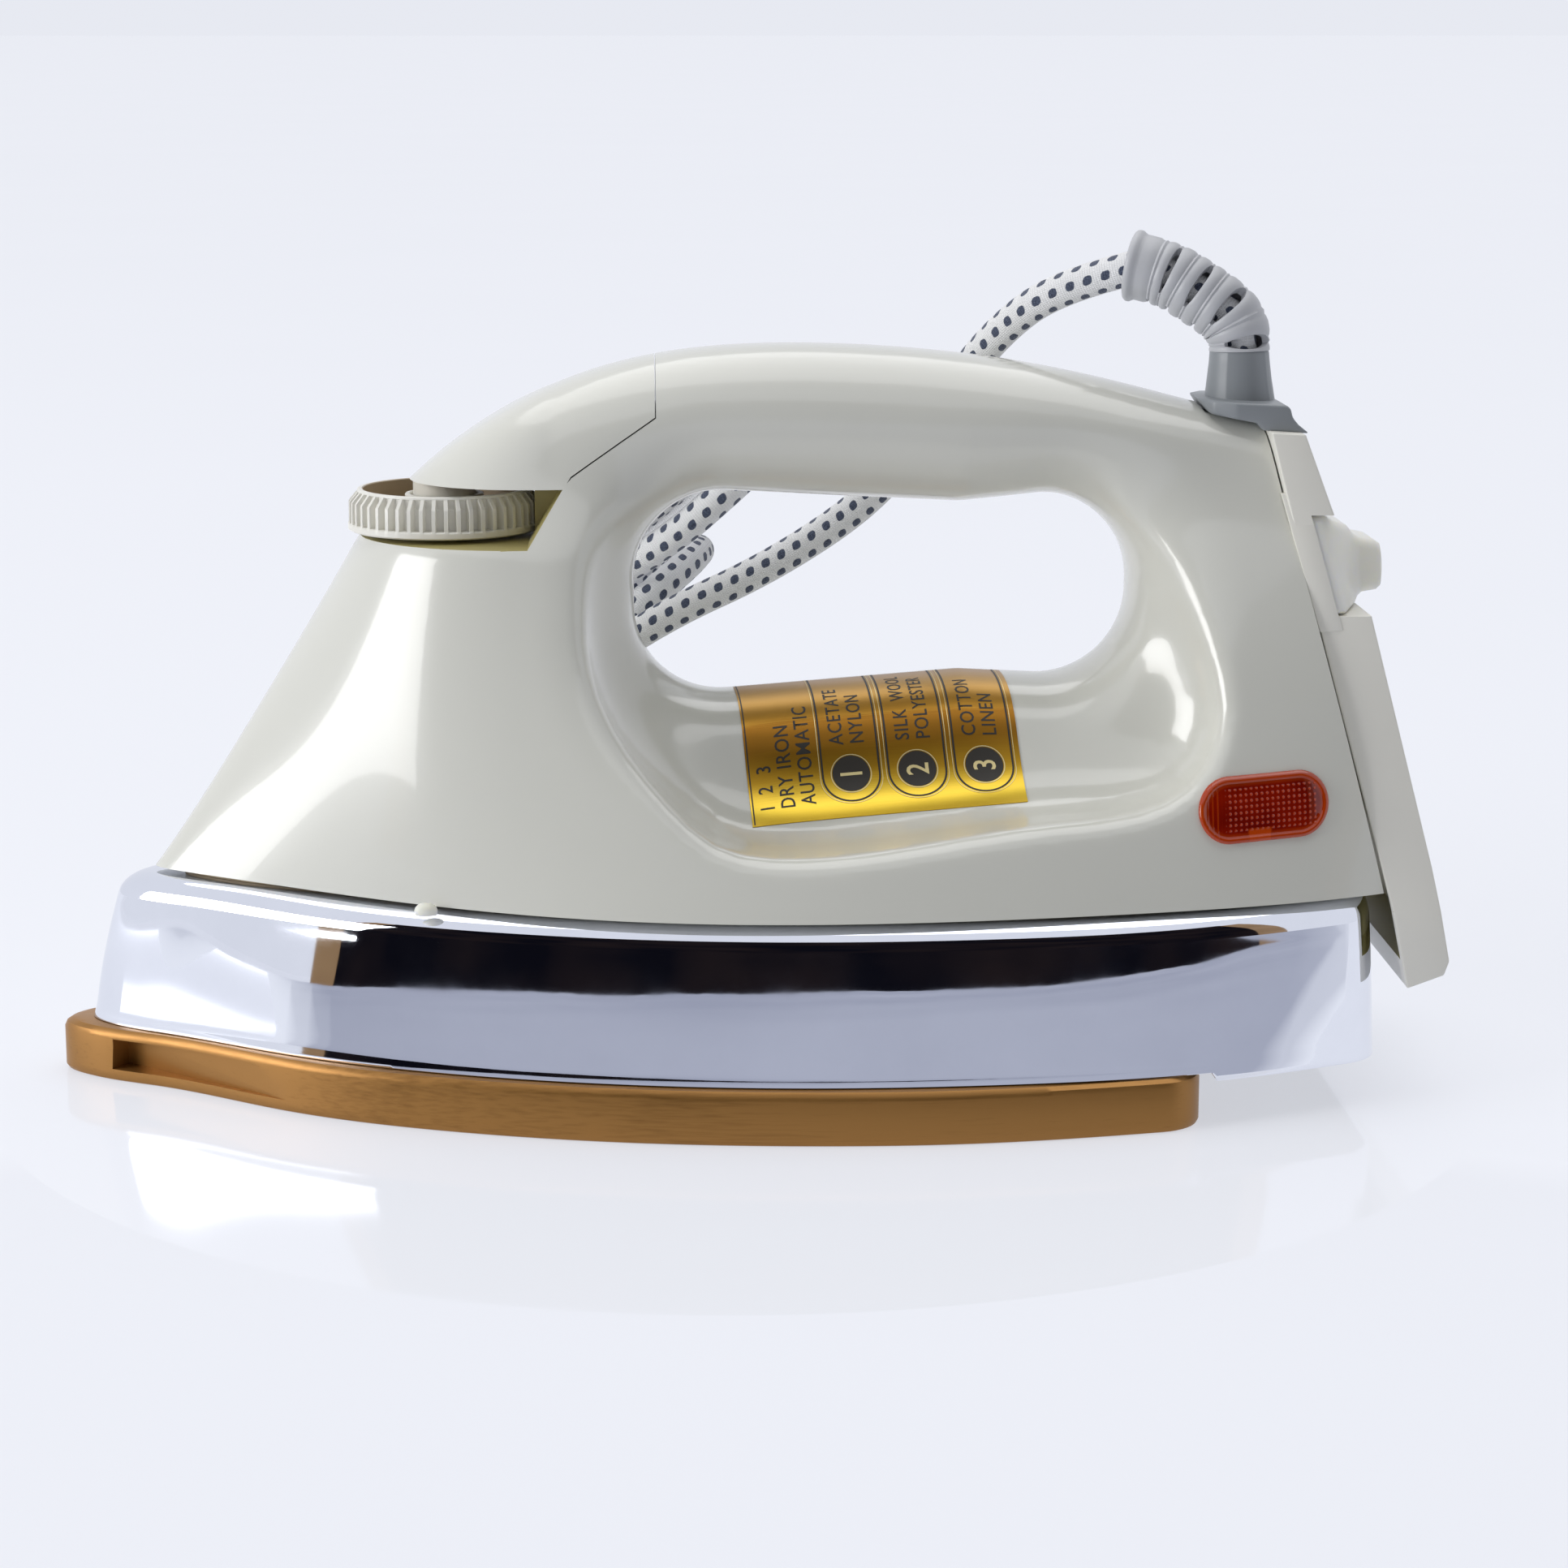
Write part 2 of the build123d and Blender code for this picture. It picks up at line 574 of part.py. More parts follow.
# ---- mains lead entry and terminals ------------------------------------------------------------------------
BLOCK_Z = 76
CLAMP_Z = 110
with BuildPart() as terminal_block:
    with BuildSketch(seam_plane(BLOCK_Z, 0.4)):
        Rectangle(24, 18)
    extrude(amount=6)
    with BuildSketch(seam_plane(BLOCK_Z, 6.4)):
        with Locations((-6, 0), (6, 0)):
            Circle(2.2)
    extrude(amount=-4, mode=Mode.SUBTRACT)
save(terminal_block.part, "terminal_block")

with BuildPart() as terminal_screws:
    with BuildSketch(seam_plane(BLOCK_Z, 2.5)):
        with Locations((-6, 0), (6, 0)):
            Circle(2.0)
    extrude(amount=3.4)
save(terminal_screws.part, "terminal_screws")

GUARD_SIDE = [(84.4, 126.9), (100.8, 125.4), (102.6, 124.3), (104.9, 120.7), (95.6, 121.4), (87.0, 122.8)]
SLEEVE_ROUTE = [(92.0, 0, 133.5), (91.6, 0.8, 141.0), (84.6, 3.0, 147.2), (73.6, 6.0, 149.0)]
SLEEVE_RADIUS = 6.1
with BuildPart() as cord_guard:
    add(side_slab(GUARD_SIDE, 12))
    fillet(cord_guard.edges().filter_by(Axis.Y).sort_by(Axis.X)[-2:-1], 1)
    with BuildSketch(Plane(origin=(92.2, 0, 125.6))):
        Circle(6.4)
    with BuildSketch(Plane(origin=(92.0, 0, 134.6))):
        Circle(5.6)
    loft()
    with BuildLine() as sleeve_path:
        FilletPolyline(*SLEEVE_ROUTE, radius=[8, 10])
    with BuildSketch(Plane(origin=sleeve_path.line @ 0, z_dir=sleeve_path.line % 0)):
        Circle(SLEEVE_RADIUS)
    sweep(path=sleeve_path.line)
save(cord_guard.part, "cord_guard")

with BuildPart() as cord_clamp:
    with BuildSketch(seam_plane(CLAMP_Z, 0.4)):
        RectangleRounded(19, 6, 1)
    extrude(amount=2.8)
save(cord_clamp.part, "cord_clamp")

with BuildPart() as clamp_screws:
    with BuildSketch(seam_plane(CLAMP_Z, 3.25)):
        with Locations((-6, 0), (6, 0)):
            Circle(1.9)
    extrude(amount=1.0)
save(clamp_screws.part, "clamp_screws")

# ---- mains lead --------------------------------------------------------------------------------------------
CORD_RADIUS = CORD_DIAMETER / 2
LEAD_ROUTE = [
    (73.6, 6.0, 149.0), (60.5, 11.0, 145.4), (50.0, 19.0, 137.0), (40.0, 30.0, 122.0), (29.0, 38.0, 103.5),
    (8.0, 38.8, 89.0), (-15.0, 39.5, 78.0), (-34.0, 46.5, 64.0), (-51.0, 55.5, 45.0), (-64.0, 61.0, 27.0),
]
TAIL_ROUTE = [(-80.0, 106.0, 6.0), (-62.0, 116.0, 3.5), (-38.0, 120.0, 3.6), (-13.0, 115.0, 4.2), (10.0, 103.0, 9.0)]


def corner_radii(route):
    """The largest comfortable bend at each corner of a route."""
    radii = []
    for before, at, after in zip(route, route[1:], route[2:]):
        first, second = Vector(*at) - Vector(*before), Vector(*after) - Vector(*at)
        half_turn = radians(first.get_angle(second)) / 2
        radii.append(0.45 * min(first.length, second.length) / (sin(half_turn) / cos(half_turn)))
    return radii


def lead_tube(route, name):
    """A stretch of the lead: straight runs joined by tangent arcs."""
    radii = corner_radii(route)
    with BuildPart() as tube:
        with BuildLine() as centre:
            FilletPolyline(*route, radius=radii)
        with BuildSketch(Plane(origin=centre.line @ 0, z_dir=centre.line % 0)):
            Circle(CORD_RADIUS)
        sweep(path=centre.line)
    length = sum(edge.length for edge in centre.edges())
    expected = length * pi * CORD_RADIUS**2
    print(name, "radii", [round(r) for r in radii], "length", round(length),
          "volume ratio", round(tube.part.volume / expected, 4))
    save(tube.part, name)


lead_tube(LEAD_ROUTE, "lead_to_hank")
lead_tube(TAIL_ROUTE, "lead_to_plug")

HANK_SPINE = [(-82, 88, 9), (-75, 86, 30), (-50, 79, 66), (-16, 71, 94), (13, 65, 113)]
HANK_WIDTHS = [34, 48, 24, 48, 34]
HANK_THICKNESS = 27.0
with BuildPart() as lead_hank:
    for i, (centre, width) in enumerate(zip(HANK_SPINE, HANK_WIDTHS)):
        before, after = HANK_SPINE[max(i - 1, 0)], HANK_SPINE[min(i + 1, len(HANK_SPINE) - 1)]
        along = Vector(*after) - Vector(*before)
        with BuildSketch(Plane(origin=centre, x_dir=(0, 1, 0), z_dir=Vector(along.X, 0, along.Z))):
            RectangleRounded(width, HANK_THICKNESS, 8)
    loft()
save(lead_hank.part, "lead_hank")

TIE_INDEX = 2
tie_along = Vector(*HANK_SPINE[3]) - Vector(*HANK_SPINE[1])
tie_plane = Plane(origin=HANK_SPINE[TIE_INDEX], x_dir=(0, 1, 0), z_dir=Vector(tie_along.X, 0, tie_along.Z))
with BuildPart() as lead_tie:
    with BuildSketch(tie_plane.offset(-3.5)):
        RectangleRounded(29, 30, 9)
    extrude(amount=7)
    add(lead_hank.part, mode=Mode.SUBTRACT)
save(lead_tie.part, "lead_tie")

PLUG_SIZE = (26, 17, 38)
plug_entry = Vector(*TAIL_ROUTE[-1])
plug_along = Vector(plug_entry.X - TAIL_ROUTE[-2][0], plug_entry.Y - TAIL_ROUTE[-2][1], 0).normalized()
plug_plane = Plane(origin=plug_entry, x_dir=(-plug_along.Y, plug_along.X, 0), z_dir=plug_along)
with BuildPart() as plug_body:
    with BuildSketch(plug_plane.offset(0.05)):
        Circle(5)
    with BuildSketch(plug_plane.offset(12)):
        Circle(6.2)
    loft()
    with BuildSketch(plug_plane.offset(12)):
        RectangleRounded(PLUG_SIZE[0] - 6, PLUG_SIZE[1] - 3, 5)
    with BuildSketch(plug_plane.offset(PLUG_SIZE[2])):
        RectangleRounded(PLUG_SIZE[0], PLUG_SIZE[1], 5)
    loft()
save(plug_body.part, "plug_body")

with BuildPart() as plug_blades:
    with BuildSketch(plug_plane.offset(PLUG_SIZE[2] + 0.05)):
        with Locations((-6.35, 0), (6.35, 0)):
            Rectangle(1.5, 6.3)
    extrude(amount=17)
save(plug_blades.part, "plug_blades")
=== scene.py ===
"""Looks of the clothes iron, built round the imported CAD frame. Sizes in the shape code are millimetres."""

import json
import math

import bmesh
import bpy
import numpy as np
import openvdb
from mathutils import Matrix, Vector


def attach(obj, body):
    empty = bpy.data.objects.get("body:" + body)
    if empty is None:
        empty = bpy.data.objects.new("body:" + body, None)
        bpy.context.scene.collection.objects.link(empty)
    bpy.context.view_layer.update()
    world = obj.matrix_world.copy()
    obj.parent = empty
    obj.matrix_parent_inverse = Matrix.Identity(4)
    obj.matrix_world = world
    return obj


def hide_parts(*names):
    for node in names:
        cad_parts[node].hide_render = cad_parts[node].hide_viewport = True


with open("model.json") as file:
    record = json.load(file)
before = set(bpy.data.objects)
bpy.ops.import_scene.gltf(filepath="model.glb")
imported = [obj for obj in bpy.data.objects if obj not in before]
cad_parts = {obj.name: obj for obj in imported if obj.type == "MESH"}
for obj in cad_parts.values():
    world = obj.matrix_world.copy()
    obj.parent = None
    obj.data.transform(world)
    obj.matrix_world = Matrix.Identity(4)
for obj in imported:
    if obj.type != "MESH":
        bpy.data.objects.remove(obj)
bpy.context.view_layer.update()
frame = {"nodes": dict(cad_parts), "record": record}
MM = 0.001
SCENE = bpy.context.scene


# ---- camera ----------------------------------------------------------------------------------------
CAMERA_AT = (-19.76, -667.5, 193.0)
CAMERA_PITCH = 11.81
CAMERA_YAW = 2.4
CAMERA_LENS = 83.49

camera_data = bpy.data.cameras.new("camera")
camera_data.lens = CAMERA_LENS
camera_data.sensor_width = 36.0
camera_data.clip_start = 0.01
camera = bpy.data.objects.new("camera", camera_data)
SCENE.collection.objects.link(camera)
camera.location = Vector(CAMERA_AT) * MM
camera.rotation_euler = (math.radians(90 - CAMERA_PITCH), 0, math.radians(-CAMERA_YAW))
SCENE.camera = camera


# ---- mesh helpers ----------------------------------------------------------------------------------
def mesh_object(name, points, faces, smooth=True):
    """A mesh object from points in millimetres."""
    data = bpy.data.meshes.new(name)
    data.from_pydata((np.asarray(points, float) * MM).tolist(), [], [list(map(int, f)) for f in faces])
    data.validate()
    data.update()
    obj = bpy.data.objects.new(name, data)
    SCENE.collection.objects.link(obj)
    if smooth:
        data.shade_smooth()
    return obj


def edit_mesh(obj, change):
    """Runs a change on an object's mesh through bmesh."""
    work = bmesh.new()
    work.from_mesh(obj.data)
    change(work)
    work.to_mesh(obj.data)
    work.free()
    return obj


def face_outwards(obj):
    return edit_mesh(obj, lambda work: bmesh.ops.recalc_face_normals(work, faces=work.faces))


def modify(obj, kind, **settings):
    """Adds a modifier and bakes it into the mesh."""
    modifier = obj.modifiers.new(kind.lower(), kind)
    for key, value in settings.items():
        setattr(modifier, key, value)
    graph = bpy.context.evaluated_depsgraph_get()
    graph.update()
    baked = bpy.data.meshes.new_from_object(obj.evaluated_get(graph))
    obj.modifiers.clear()
    obj.data = baked
    return obj


def boolean(obj, cutter, operation="DIFFERENCE"):
    """Cuts an object with another, which is then removed."""
    modify(obj, "BOOLEAN", operation=operation, solver="EXACT", object=cutter)
    bpy.data.objects.remove(cutter)
    return obj


def smooth_by_angle(obj, degrees):
    """Smooth shading with the edges over an angle kept sharp."""
    obj.data.shade_smooth()
    obj.data.set_sharp_from_angle(angle=math.radians(degrees))
    return obj


def round_edges(obj, width, segments, angle=32):
    """Rounds the sharp edges of a blocky mesh."""
    modify(obj, "BEVEL", width=width * MM, segments=segments, limit_method="ANGLE",
           angle_limit=math.radians(angle), harden_normals=False)
    return smooth_by_angle(obj, 40)


def band_faces(rows, columns, closed=True):
    """Quads of a grid of points, each row joined end to start when closed."""
    faces = []
    for first in range(0, (rows - 1) * columns, columns):
        for i in range(columns if closed else columns - 1):
            j = (i + 1) % columns
            faces.append([first + i, first + j, first + columns + j, first + columns + i])
    return faces


def prism(name, first, last):
    """A closed flat-sided solid between two outlines of equal point counts."""
    count = len(first)
    faces = [list(range(count)), list(range(2 * count - 1, count - 1, -1))] + band_faces(2, count)
    return face_outwards(mesh_object(name, [*first, *last], faces, smooth=False))


def side_prism(name, outline, near, far):
    """A prism with a side view outline, from y = near to y = far."""
    return prism(name, [(x, near, z) for x, z in outline], [(x, far, z) for x, z in outline])


def rear_prism(name, outline, near, far):
    """A prism with a rear view outline, from x = near to x = far."""
    return prism(name, [(near, y, z) for y, z in outline], [(far, y, z) for y, z in outline])


def loft_rings(name, rings, caps=(True, True), smooth=True):
    """A skin through rings of equal point counts, its first and last ring capped or left open."""
    rows, count = len(rings), len(rings[0])
    faces = band_faces(rows, count)
    if caps[0]:
        faces.append(list(range(count))[::-1])
    if caps[1]:
        faces.append([(rows - 1) * count + i for i in range(count)])
    return face_outwards(mesh_object(name, np.concatenate(rings), faces, smooth))


def round_angles(count):
    return np.linspace(0, 2 * math.pi, count, endpoint=False)


def level_ring(x, y, z, angles, radius, stretch=1.0):
    """A level ring of points round a centre; its radius may change with the angle."""
    return np.column_stack([x + stretch * radius * np.cos(angles), y + radius * np.sin(angles),
                            np.full(len(angles), z)])


def rounded_box(half_a, half_b, corner, steps):
    """A rounded rectangle's outline round the origin."""
    outline = []
    for quarter, (side_a, side_b) in enumerate(((1, 1), (-1, 1), (-1, -1), (1, -1))):
        for step in range(steps):
            angle = math.radians(90 * (quarter + step / (steps - 1)))
            outline.append((side_a * (half_a - corner) + corner * math.cos(angle),
                            side_b * (half_b - corner) + corner * math.sin(angle)))
    return np.array(outline)


# ---- implicit shapes -------------------------------------------------------------------------------
def smax(a, b, k):
    """The larger of two fields, rounded where they meet."""
    h = np.maximum(k - np.abs(a - b), 0) / k
    return np.maximum(a, b) + h * h * k * 0.25


def smin(a, b, k):
    return -smax(-a, -b, k)


def outline_distance(px, pz, outline):
    """Signed distance from points to a closed outline, negative inside."""
    points = np.array(outline, float)
    nearest = np.full(px.shape, 1e9)
    sign = np.ones(px.shape)
    for i in range(len(points)):
        a, b = points[i], points[i - 1]
        edge = b - a
        wx, wz = px - a[0], pz - a[1]
        h = np.clip((wx * edge[0] + wz * edge[1]) / (edge @ edge), 0, 1)
        nearest = np.minimum(nearest, (wx - edge[0] * h) ** 2 + (wz - edge[1] * h) ** 2)
        up, below, left = pz >= a[1], pz < b[1], edge[0] * wz > edge[1] * wx
        sign = np.where((up & below & left) | (~up & ~below & ~left), -sign, sign)
    return sign * np.sqrt(nearest)


def gradient(field, points, step=0.05):
    """Numerical gradient of a field at points."""
    columns = []
    for shift in np.eye(3) * step:
        ahead, back = points + shift, points - shift
        columns.append((field(*ahead.T) - field(*back.T)) / (2 * step))
    return np.stack(columns, 1)


def iso_surface(field, low, high, voxel):
    """Points and quads of the field's zero surface, pulled onto it exactly."""
    low, high = np.array(low, float), np.array(high, float)
    counts = np.ceil((high - low) / voxel).astype(int) + 1
    axes = [low[i] + voxel * np.arange(counts[i]) for i in range(3)]
    values = np.empty(counts, np.float32)
    for i, x in enumerate(axes[0]):
        y, z = np.meshgrid(axes[1], axes[2], indexing="ij")
        values[i] = field(np.full_like(y, x), y, z)
    grid = openvdb.FloatGrid(float(voxel * 4))
    grid.copyFromArray(values)
    points, quads = grid.convertToQuads(isovalue=0.0)
    points = low + points.astype(float) * voxel
    for _ in range(4):
        slope = gradient(field, points)
        step = field(*points.T) / np.maximum((slope**2).sum(1), 0.05)
        points = points - slope * np.clip(step, -0.5 * voxel, 0.5 * voxel)[:, None]
    return points, quads


# ---- curves ----------------------------------------------------------------------------------------
def distances(line):
    """Distance along a line to each of its points."""
    return np.concatenate([[0], np.cumsum(np.linalg.norm(np.diff(line, axis=0), axis=1))])


def even_points(line, count):
    """The same line with its points evenly spaced."""
    along = distances(line)
    want = np.linspace(0, along[-1], count)
    return np.stack([np.interp(want, along, line[:, i]) for i in range(line.shape[1])], 1)


def spline_points(points, count):
    """Evenly spaced points on the natural cubic spline through some points."""
    knots = np.array(points, float)
    at = distances(knots)
    gap = np.diff(at)
    size = len(knots)
    system = np.eye(size)
    bend = np.zeros_like(knots)
    for i in range(1, size - 1):
        system[i, i - 1 : i + 2] = gap[i - 1], 2 * (gap[i - 1] + gap[i]), gap[i]
        bend[i] = 6 * ((knots[i + 1] - knots[i]) / gap[i] - (knots[i] - knots[i - 1]) / gap[i - 1])
    curve = np.linalg.solve(system, bend)
    u = np.linspace(0, at[-1], 20 * count)
    i = np.clip(np.searchsorted(at, u, side="right") - 1, 0, size - 2)
    left, right, width = (at[i + 1] - u)[:, None], (u - at[i])[:, None], gap[i][:, None]
    fine = (curve[i] * left**3 + curve[i + 1] * right**3) / (6 * width)
    fine = fine + (knots[i] / width - curve[i] * width / 6) * left
    fine = fine + (knots[i + 1] / width - curve[i + 1] * width / 6) * right
    return even_points(fine, count)


def plan_outline(nose, half, corner, count):
    """A closed plan outline: a round nose, curved sides and a straight rear with round corners."""
    near = [(nose + 0.22 * (half[0][0] - nose), 0.42 * half[0][1]), *half]
    far = [(x, -y) for x, y in reversed(near)]
    side = spline_points(far + [(nose, 0)] + near, 4 * count)
    end, before = side[-1], side[-20]
    run = (end - before) / np.linalg.norm(end - before)
    turn = math.acos(np.clip(run @ np.array([0, -1.0]), -1, 1))
    trim = corner * math.tan(turn / 2)
    inside = [np.linalg.norm(side - tip, axis=1) > trim for tip in (end, side[0])]
    start = end - run * trim
    centre = start + corner * np.array([run[1], -run[0]])
    angles = np.linspace(0, turn, 16)[:, None]
    spin = [start - centre, np.array([start[1] - centre[1], centre[0] - start[0]])]
    arc = centre + np.cos(angles) * spin[0] + np.sin(angles) * spin[1]
    loop = np.concatenate([side[inside[0] & inside[1]], arc, arc[::-1] * np.array([1, -1])])
    return even_points(np.concatenate([loop, loop[:1]]), count + 1)[:-1]


def nurbs_line(name, route):
    """Points read from the NURBS spline of a route, in millimetres."""
    data = bpy.data.curves.new(name, "CURVE")
    data.dimensions = "3D"
    spline = data.splines.new("NURBS")
    spline.points.add(len(route) - 1)
    for point, spot in zip(spline.points, route):
        point.co = (*(c * MM for c in spot), 1)
    spline.order_u = 3
    spline.use_endpoint_u = True
    spline.resolution_u = 16
    return np.array([v.co[:] for v in mesh_of(name, data).vertices]) / MM


def mesh_of(name, data):
    """The mesh of a curve or text."""
    holder = bpy.data.objects.new(name, data)
    SCENE.collection.objects.link(holder)
    bpy.context.view_layer.update()
    mesh = bpy.data.meshes.new_from_object(holder)
    bpy.data.objects.remove(holder)
    return mesh


def line_frames(line, first_normal=(0, 0, 1)):
    """Normals along a line that don't twist round it, and the directions square to them."""
    runs = np.gradient(line, axis=0)
    runs /= np.linalg.norm(runs, axis=1)[:, None]
    normals = np.zeros_like(line)
    normal = np.array(first_normal, float)
    for i, run in enumerate(runs):
        normal = normal - run * (normal @ run)
        normal /= np.linalg.norm(normal)
        normals[i] = normal
    return normals, np.cross(runs, normals)


def tube_mesh(name, line, radius, sides):
    """A tube along a line with UVs: millimetres along it and turns round it."""
    normals, sideways = line_frames(line)
    angles = round_angles(sides)[None, :, None]
    ring = np.cos(angles) * normals[:, None] + np.sin(angles) * sideways[:, None]
    faces = band_faces(len(line), sides)
    faces += [list(range(sides))[::-1], [(len(line) - 1) * sides + i for i in range(sides)]]
    obj = mesh_object(name, (line[:, None] + ring * radius).reshape(-1, 3), faces)
    along = distances(line)
    spots = np.zeros((len(obj.data.loops), 2))
    for polygon in obj.data.polygons:
        ids = [obj.data.loops[k].vertex_index for k in polygon.loop_indices]
        if len(ids) != 4:
            continue
        turns = [(v % sides) / sides for v in ids]
        if max(turns) - min(turns) > 0.5:
            turns = [t + 1 if t < 0.5 else t for t in turns]
        for k, v, t in zip(polygon.loop_indices, ids, turns):
            spots[k] = along[v // sides], t
    obj.data.uv_layers.new(name="along_round").data.foreach_set("uv", spots.ravel())
    return obj


# ---- the mains lead --------------------------------------------------------------------------------
LEAD_DIAMETER = 6.4
LEAD_STEP = 0.9
LEAD_SIDES = 22
LEAD_ROUTE = [
    (73.6, 6.0, 149.0), (60.5, 11.0, 145.4), (50.0, 19.0, 137.0), (40.0, 30.0, 122.0), (29.0, 38.0, 103.5),
    (8.0, 38.8, 89.0), (-15.0, 39.5, 78.5), (-34.0, 46.5, 64.0), (-48.0, 55.5, 48.0),
]
TAIL_ROUTE = [(-80.0, 106.0, 6.0), (-62.0, 116.0, 3.5), (-38.0, 120.0, 3.6), (-13.0, 115.0, 4.2),
              (10.0, 103.0, 9.0)]
HANK_SPINE = np.array([(-82, 88, 9), (-73.5, 86, 31), (-50, 79, 66), (-16.5, 71, 91.8), (9.5, 65, 115.5)])
TOP_FOLDS = (0.64, 0.86, 0.85, 0.84)
FOLD_SAGS = (3.0, 3.0, 2.0, 1.0)
HANK_TURNS = 4
LAYER = 6.5
LOOP_HALF = 20.9
WAIST_HALF = 7.4
SPINE_STEPS = distances(HANK_SPINE)
HANK_LENGTH = SPINE_STEPS[-1]
TIE_ALONG = 0.45
RUN_STEPS = (0.33, TIE_ALONG, 0.61)
TIE_PROFILE = [(-3.4, 0), (-3.5, 0.35), (-3.2, 0.8), (-1.2, 0.95), (0, 0.8), (1.2, 0.95), (3.2, 0.8),
               (3.5, 0.35), (3.4, 0), (2.0, -0.1), (-2.0, -0.1)]


def on_spine(distance):
    """A point of the hank's spine, which runs on straight past its ends."""
    spot = np.array([np.interp(distance, SPINE_STEPS, HANK_SPINE[:, i]) for i in range(3)])
    past = distance - np.clip(distance, 0, HANK_LENGTH)
    end = HANK_SPINE[-1] - HANK_SPINE[-2] if past > 0 else HANK_SPINE[1] - HANK_SPINE[0]
    return spot + end / np.linalg.norm(end) * past


def hank_point(along, across, layer):
    """A point in the hank: along its spine (0 to 1), across it and through its thickness."""
    at = along * HANK_LENGTH
    spot = (on_spine(at - 7) + 2 * on_spine(at) + on_spine(at + 7)) / 4
    run = on_spine(at + 14) - on_spine(at - 14)
    run /= np.linalg.norm(run)
    through = np.array([run[2], 0, -run[0]]) / math.hypot(run[0], run[2])
    sideways = np.array([0, 1, 0]) - run * run[1]
    return spot + sideways / np.linalg.norm(sideways) * across + through * layer


def run_half(along):
    """Half the distance between a turn's two runs: wide at the loops, tight at the tie."""
    return WAIST_HALF + (LOOP_HALF - WAIST_HALF) * min(1.0, abs(along - TIE_ALONG) / 0.28) ** 1.5


def hank_route():
    """Control points of the tied turns, from the lead's arrival to the start of the tail."""
    rng = np.random.default_rng(7)
    reach = LOOP_HALF / HANK_LENGTH
    corner = 0.414 * reach
    fold = ((-1, -corner), (-1, corner), (-0.414, reach), (0.414, reach), (1, corner), (1, -corner))
    route = []

    def add_run(steps, high, sag, half_scale, layer):
        """One run of a turn between its lower and upper fold."""
        for along in steps:
            if along > high - 2 * corner:
                continue
            shake = rng.uniform(-1, 1, 2) * abs(along - TIE_ALONG) * 2
            drop = sag * max(0.0, along - TIE_ALONG) / 0.2
            route.append(hank_point(along, run_half(along) * half_scale + shake[0], layer + shake[1] + drop))

    for turn, (high, sag) in enumerate(zip(TOP_FOLDS, FOLD_SAGS)):
        layer = LAYER * (HANK_TURNS - 1) / 2 - LAYER * turn
        low = 0.16 + 0.008 * turn
        wide = 1.0 + 0.02 * ((turn + 1) % 3)
        for side, ahead in fold:
            route.append(hank_point(low - ahead, side * LOOP_HALF * wide, layer - 0.3 * (side + 1)))
        add_run(RUN_STEPS, high, sag, wide, layer - 1)
        for side, ahead in fold[::-1]:
            route.append(hank_point(high + ahead, side * LOOP_HALF * wide, layer - 2.5 + 1.5 * side + sag))
        add_run(RUN_STEPS[::-1], high, sag, -wide, layer - LAYER + 1)
    last = -LAYER * (HANK_TURNS + 1) / 2 + 3
    route += [hank_point(0.17 - ahead, side * LOOP_HALF, last) for side, ahead in fold[:3]]
    return [tuple(p) for p in route]


def lead_tie():
    """A flat band wound round the waist of the hank, with a shallow dip along its middle."""
    middle = hank_point(TIE_ALONG, 0, -3.2)
    run = (hank_point(TIE_ALONG + 0.06, 0, 0) - hank_point(TIE_ALONG - 0.06, 0, 0)) * (1, 0, 1)
    run /= np.linalg.norm(run)
    through = np.array([run[2], 0, -run[0]])
    half_n = LAYER * 2 + 3.4
    outline = rounded_box(WAIST_HALF + 3.9, half_n, 4.0, 7)
    rings = []
    for along, out in TIE_PROFILE:
        across, thick = (outline * (1 + out / half_n)).T
        rings.append(middle + run * along + np.outer(across, (0, 1, 0)) + np.outer(thick, through))
    return loft_rings("lead_tie_band", rings + rings[:1], caps=(False, False))


lead_line = nurbs_line("lead_centre", LEAD_ROUTE + hank_route() + TAIL_ROUTE)
lead_line = even_points(lead_line, int(distances(lead_line)[-1] / LEAD_STEP))
lead = tube_mesh("lead_cord", lead_line, LEAD_DIAMETER / 2, LEAD_SIDES)


# ---- the moulded body's form -----------------------------------------------------------------------
BASE_HALF = [(-110, 0), (-92, 8.8), (-73, 21.6), (-50, 33.8), (-20, 43.5), (8, 47), (54, 44.4), (90, 36.8),
             (117, 27.5)]
TOP_LINE = [(-66, 107.4), (-60, 112.8), (-46.3, 122.0), (-31.3, 129.7), (-15.3, 134.2), (13.3, 135.8),
            (43, 133.8), (73, 127.9), (96, 122.6)]
BASE_CURVE = np.polyfit(*zip(*BASE_HALF), 5)
TOP_CURVE = np.polyfit(*zip(*TOP_LINE), 6)
BODY_BASE = 39.0
HOOD_HEIGHT = 62.3
HOOD_FRONT = 29.0
BODY_LOW, BODY_HIGH, BODY_VOXEL = (-118, -58, 30), (125, 58, 142), 1.3
NOTCH_FLOOR = 101.3
NOSE_BASE = 111.4
NOSE_REAR = -15.4
NOSE_GAP = 0.3
DIAL_X = -54.3
HOLE_CORNER = 16.0
HOLE = [(-19.6, 109.0), (-19.6, 71.3), (71.9, 75.9), (71.9, 105.9)]
HOLE_CENTRES = [(x + (HOLE_CORNER if x < 0 else -HOLE_CORNER), z + (-HOLE_CORNER if z > 90 else HOLE_CORNER))
                for x, z in HOLE]
POCKET = [(-25.8, 116), (-26.8, 90), (-22.8, 72.5), (-15.2, 60.5), (-5.4, 51.6), (6, 49.5), (20, 50.2),
          (54, 54.2), (81, 61.3), (85.8, 74), (84.1, 84), (78.5, 100.4), (69.6, 113), (55, 121), (10, 128),
          (-18, 125)]
POCKET_LINE = spline_points(POCKET + POCKET[:1], 64)[:-1]
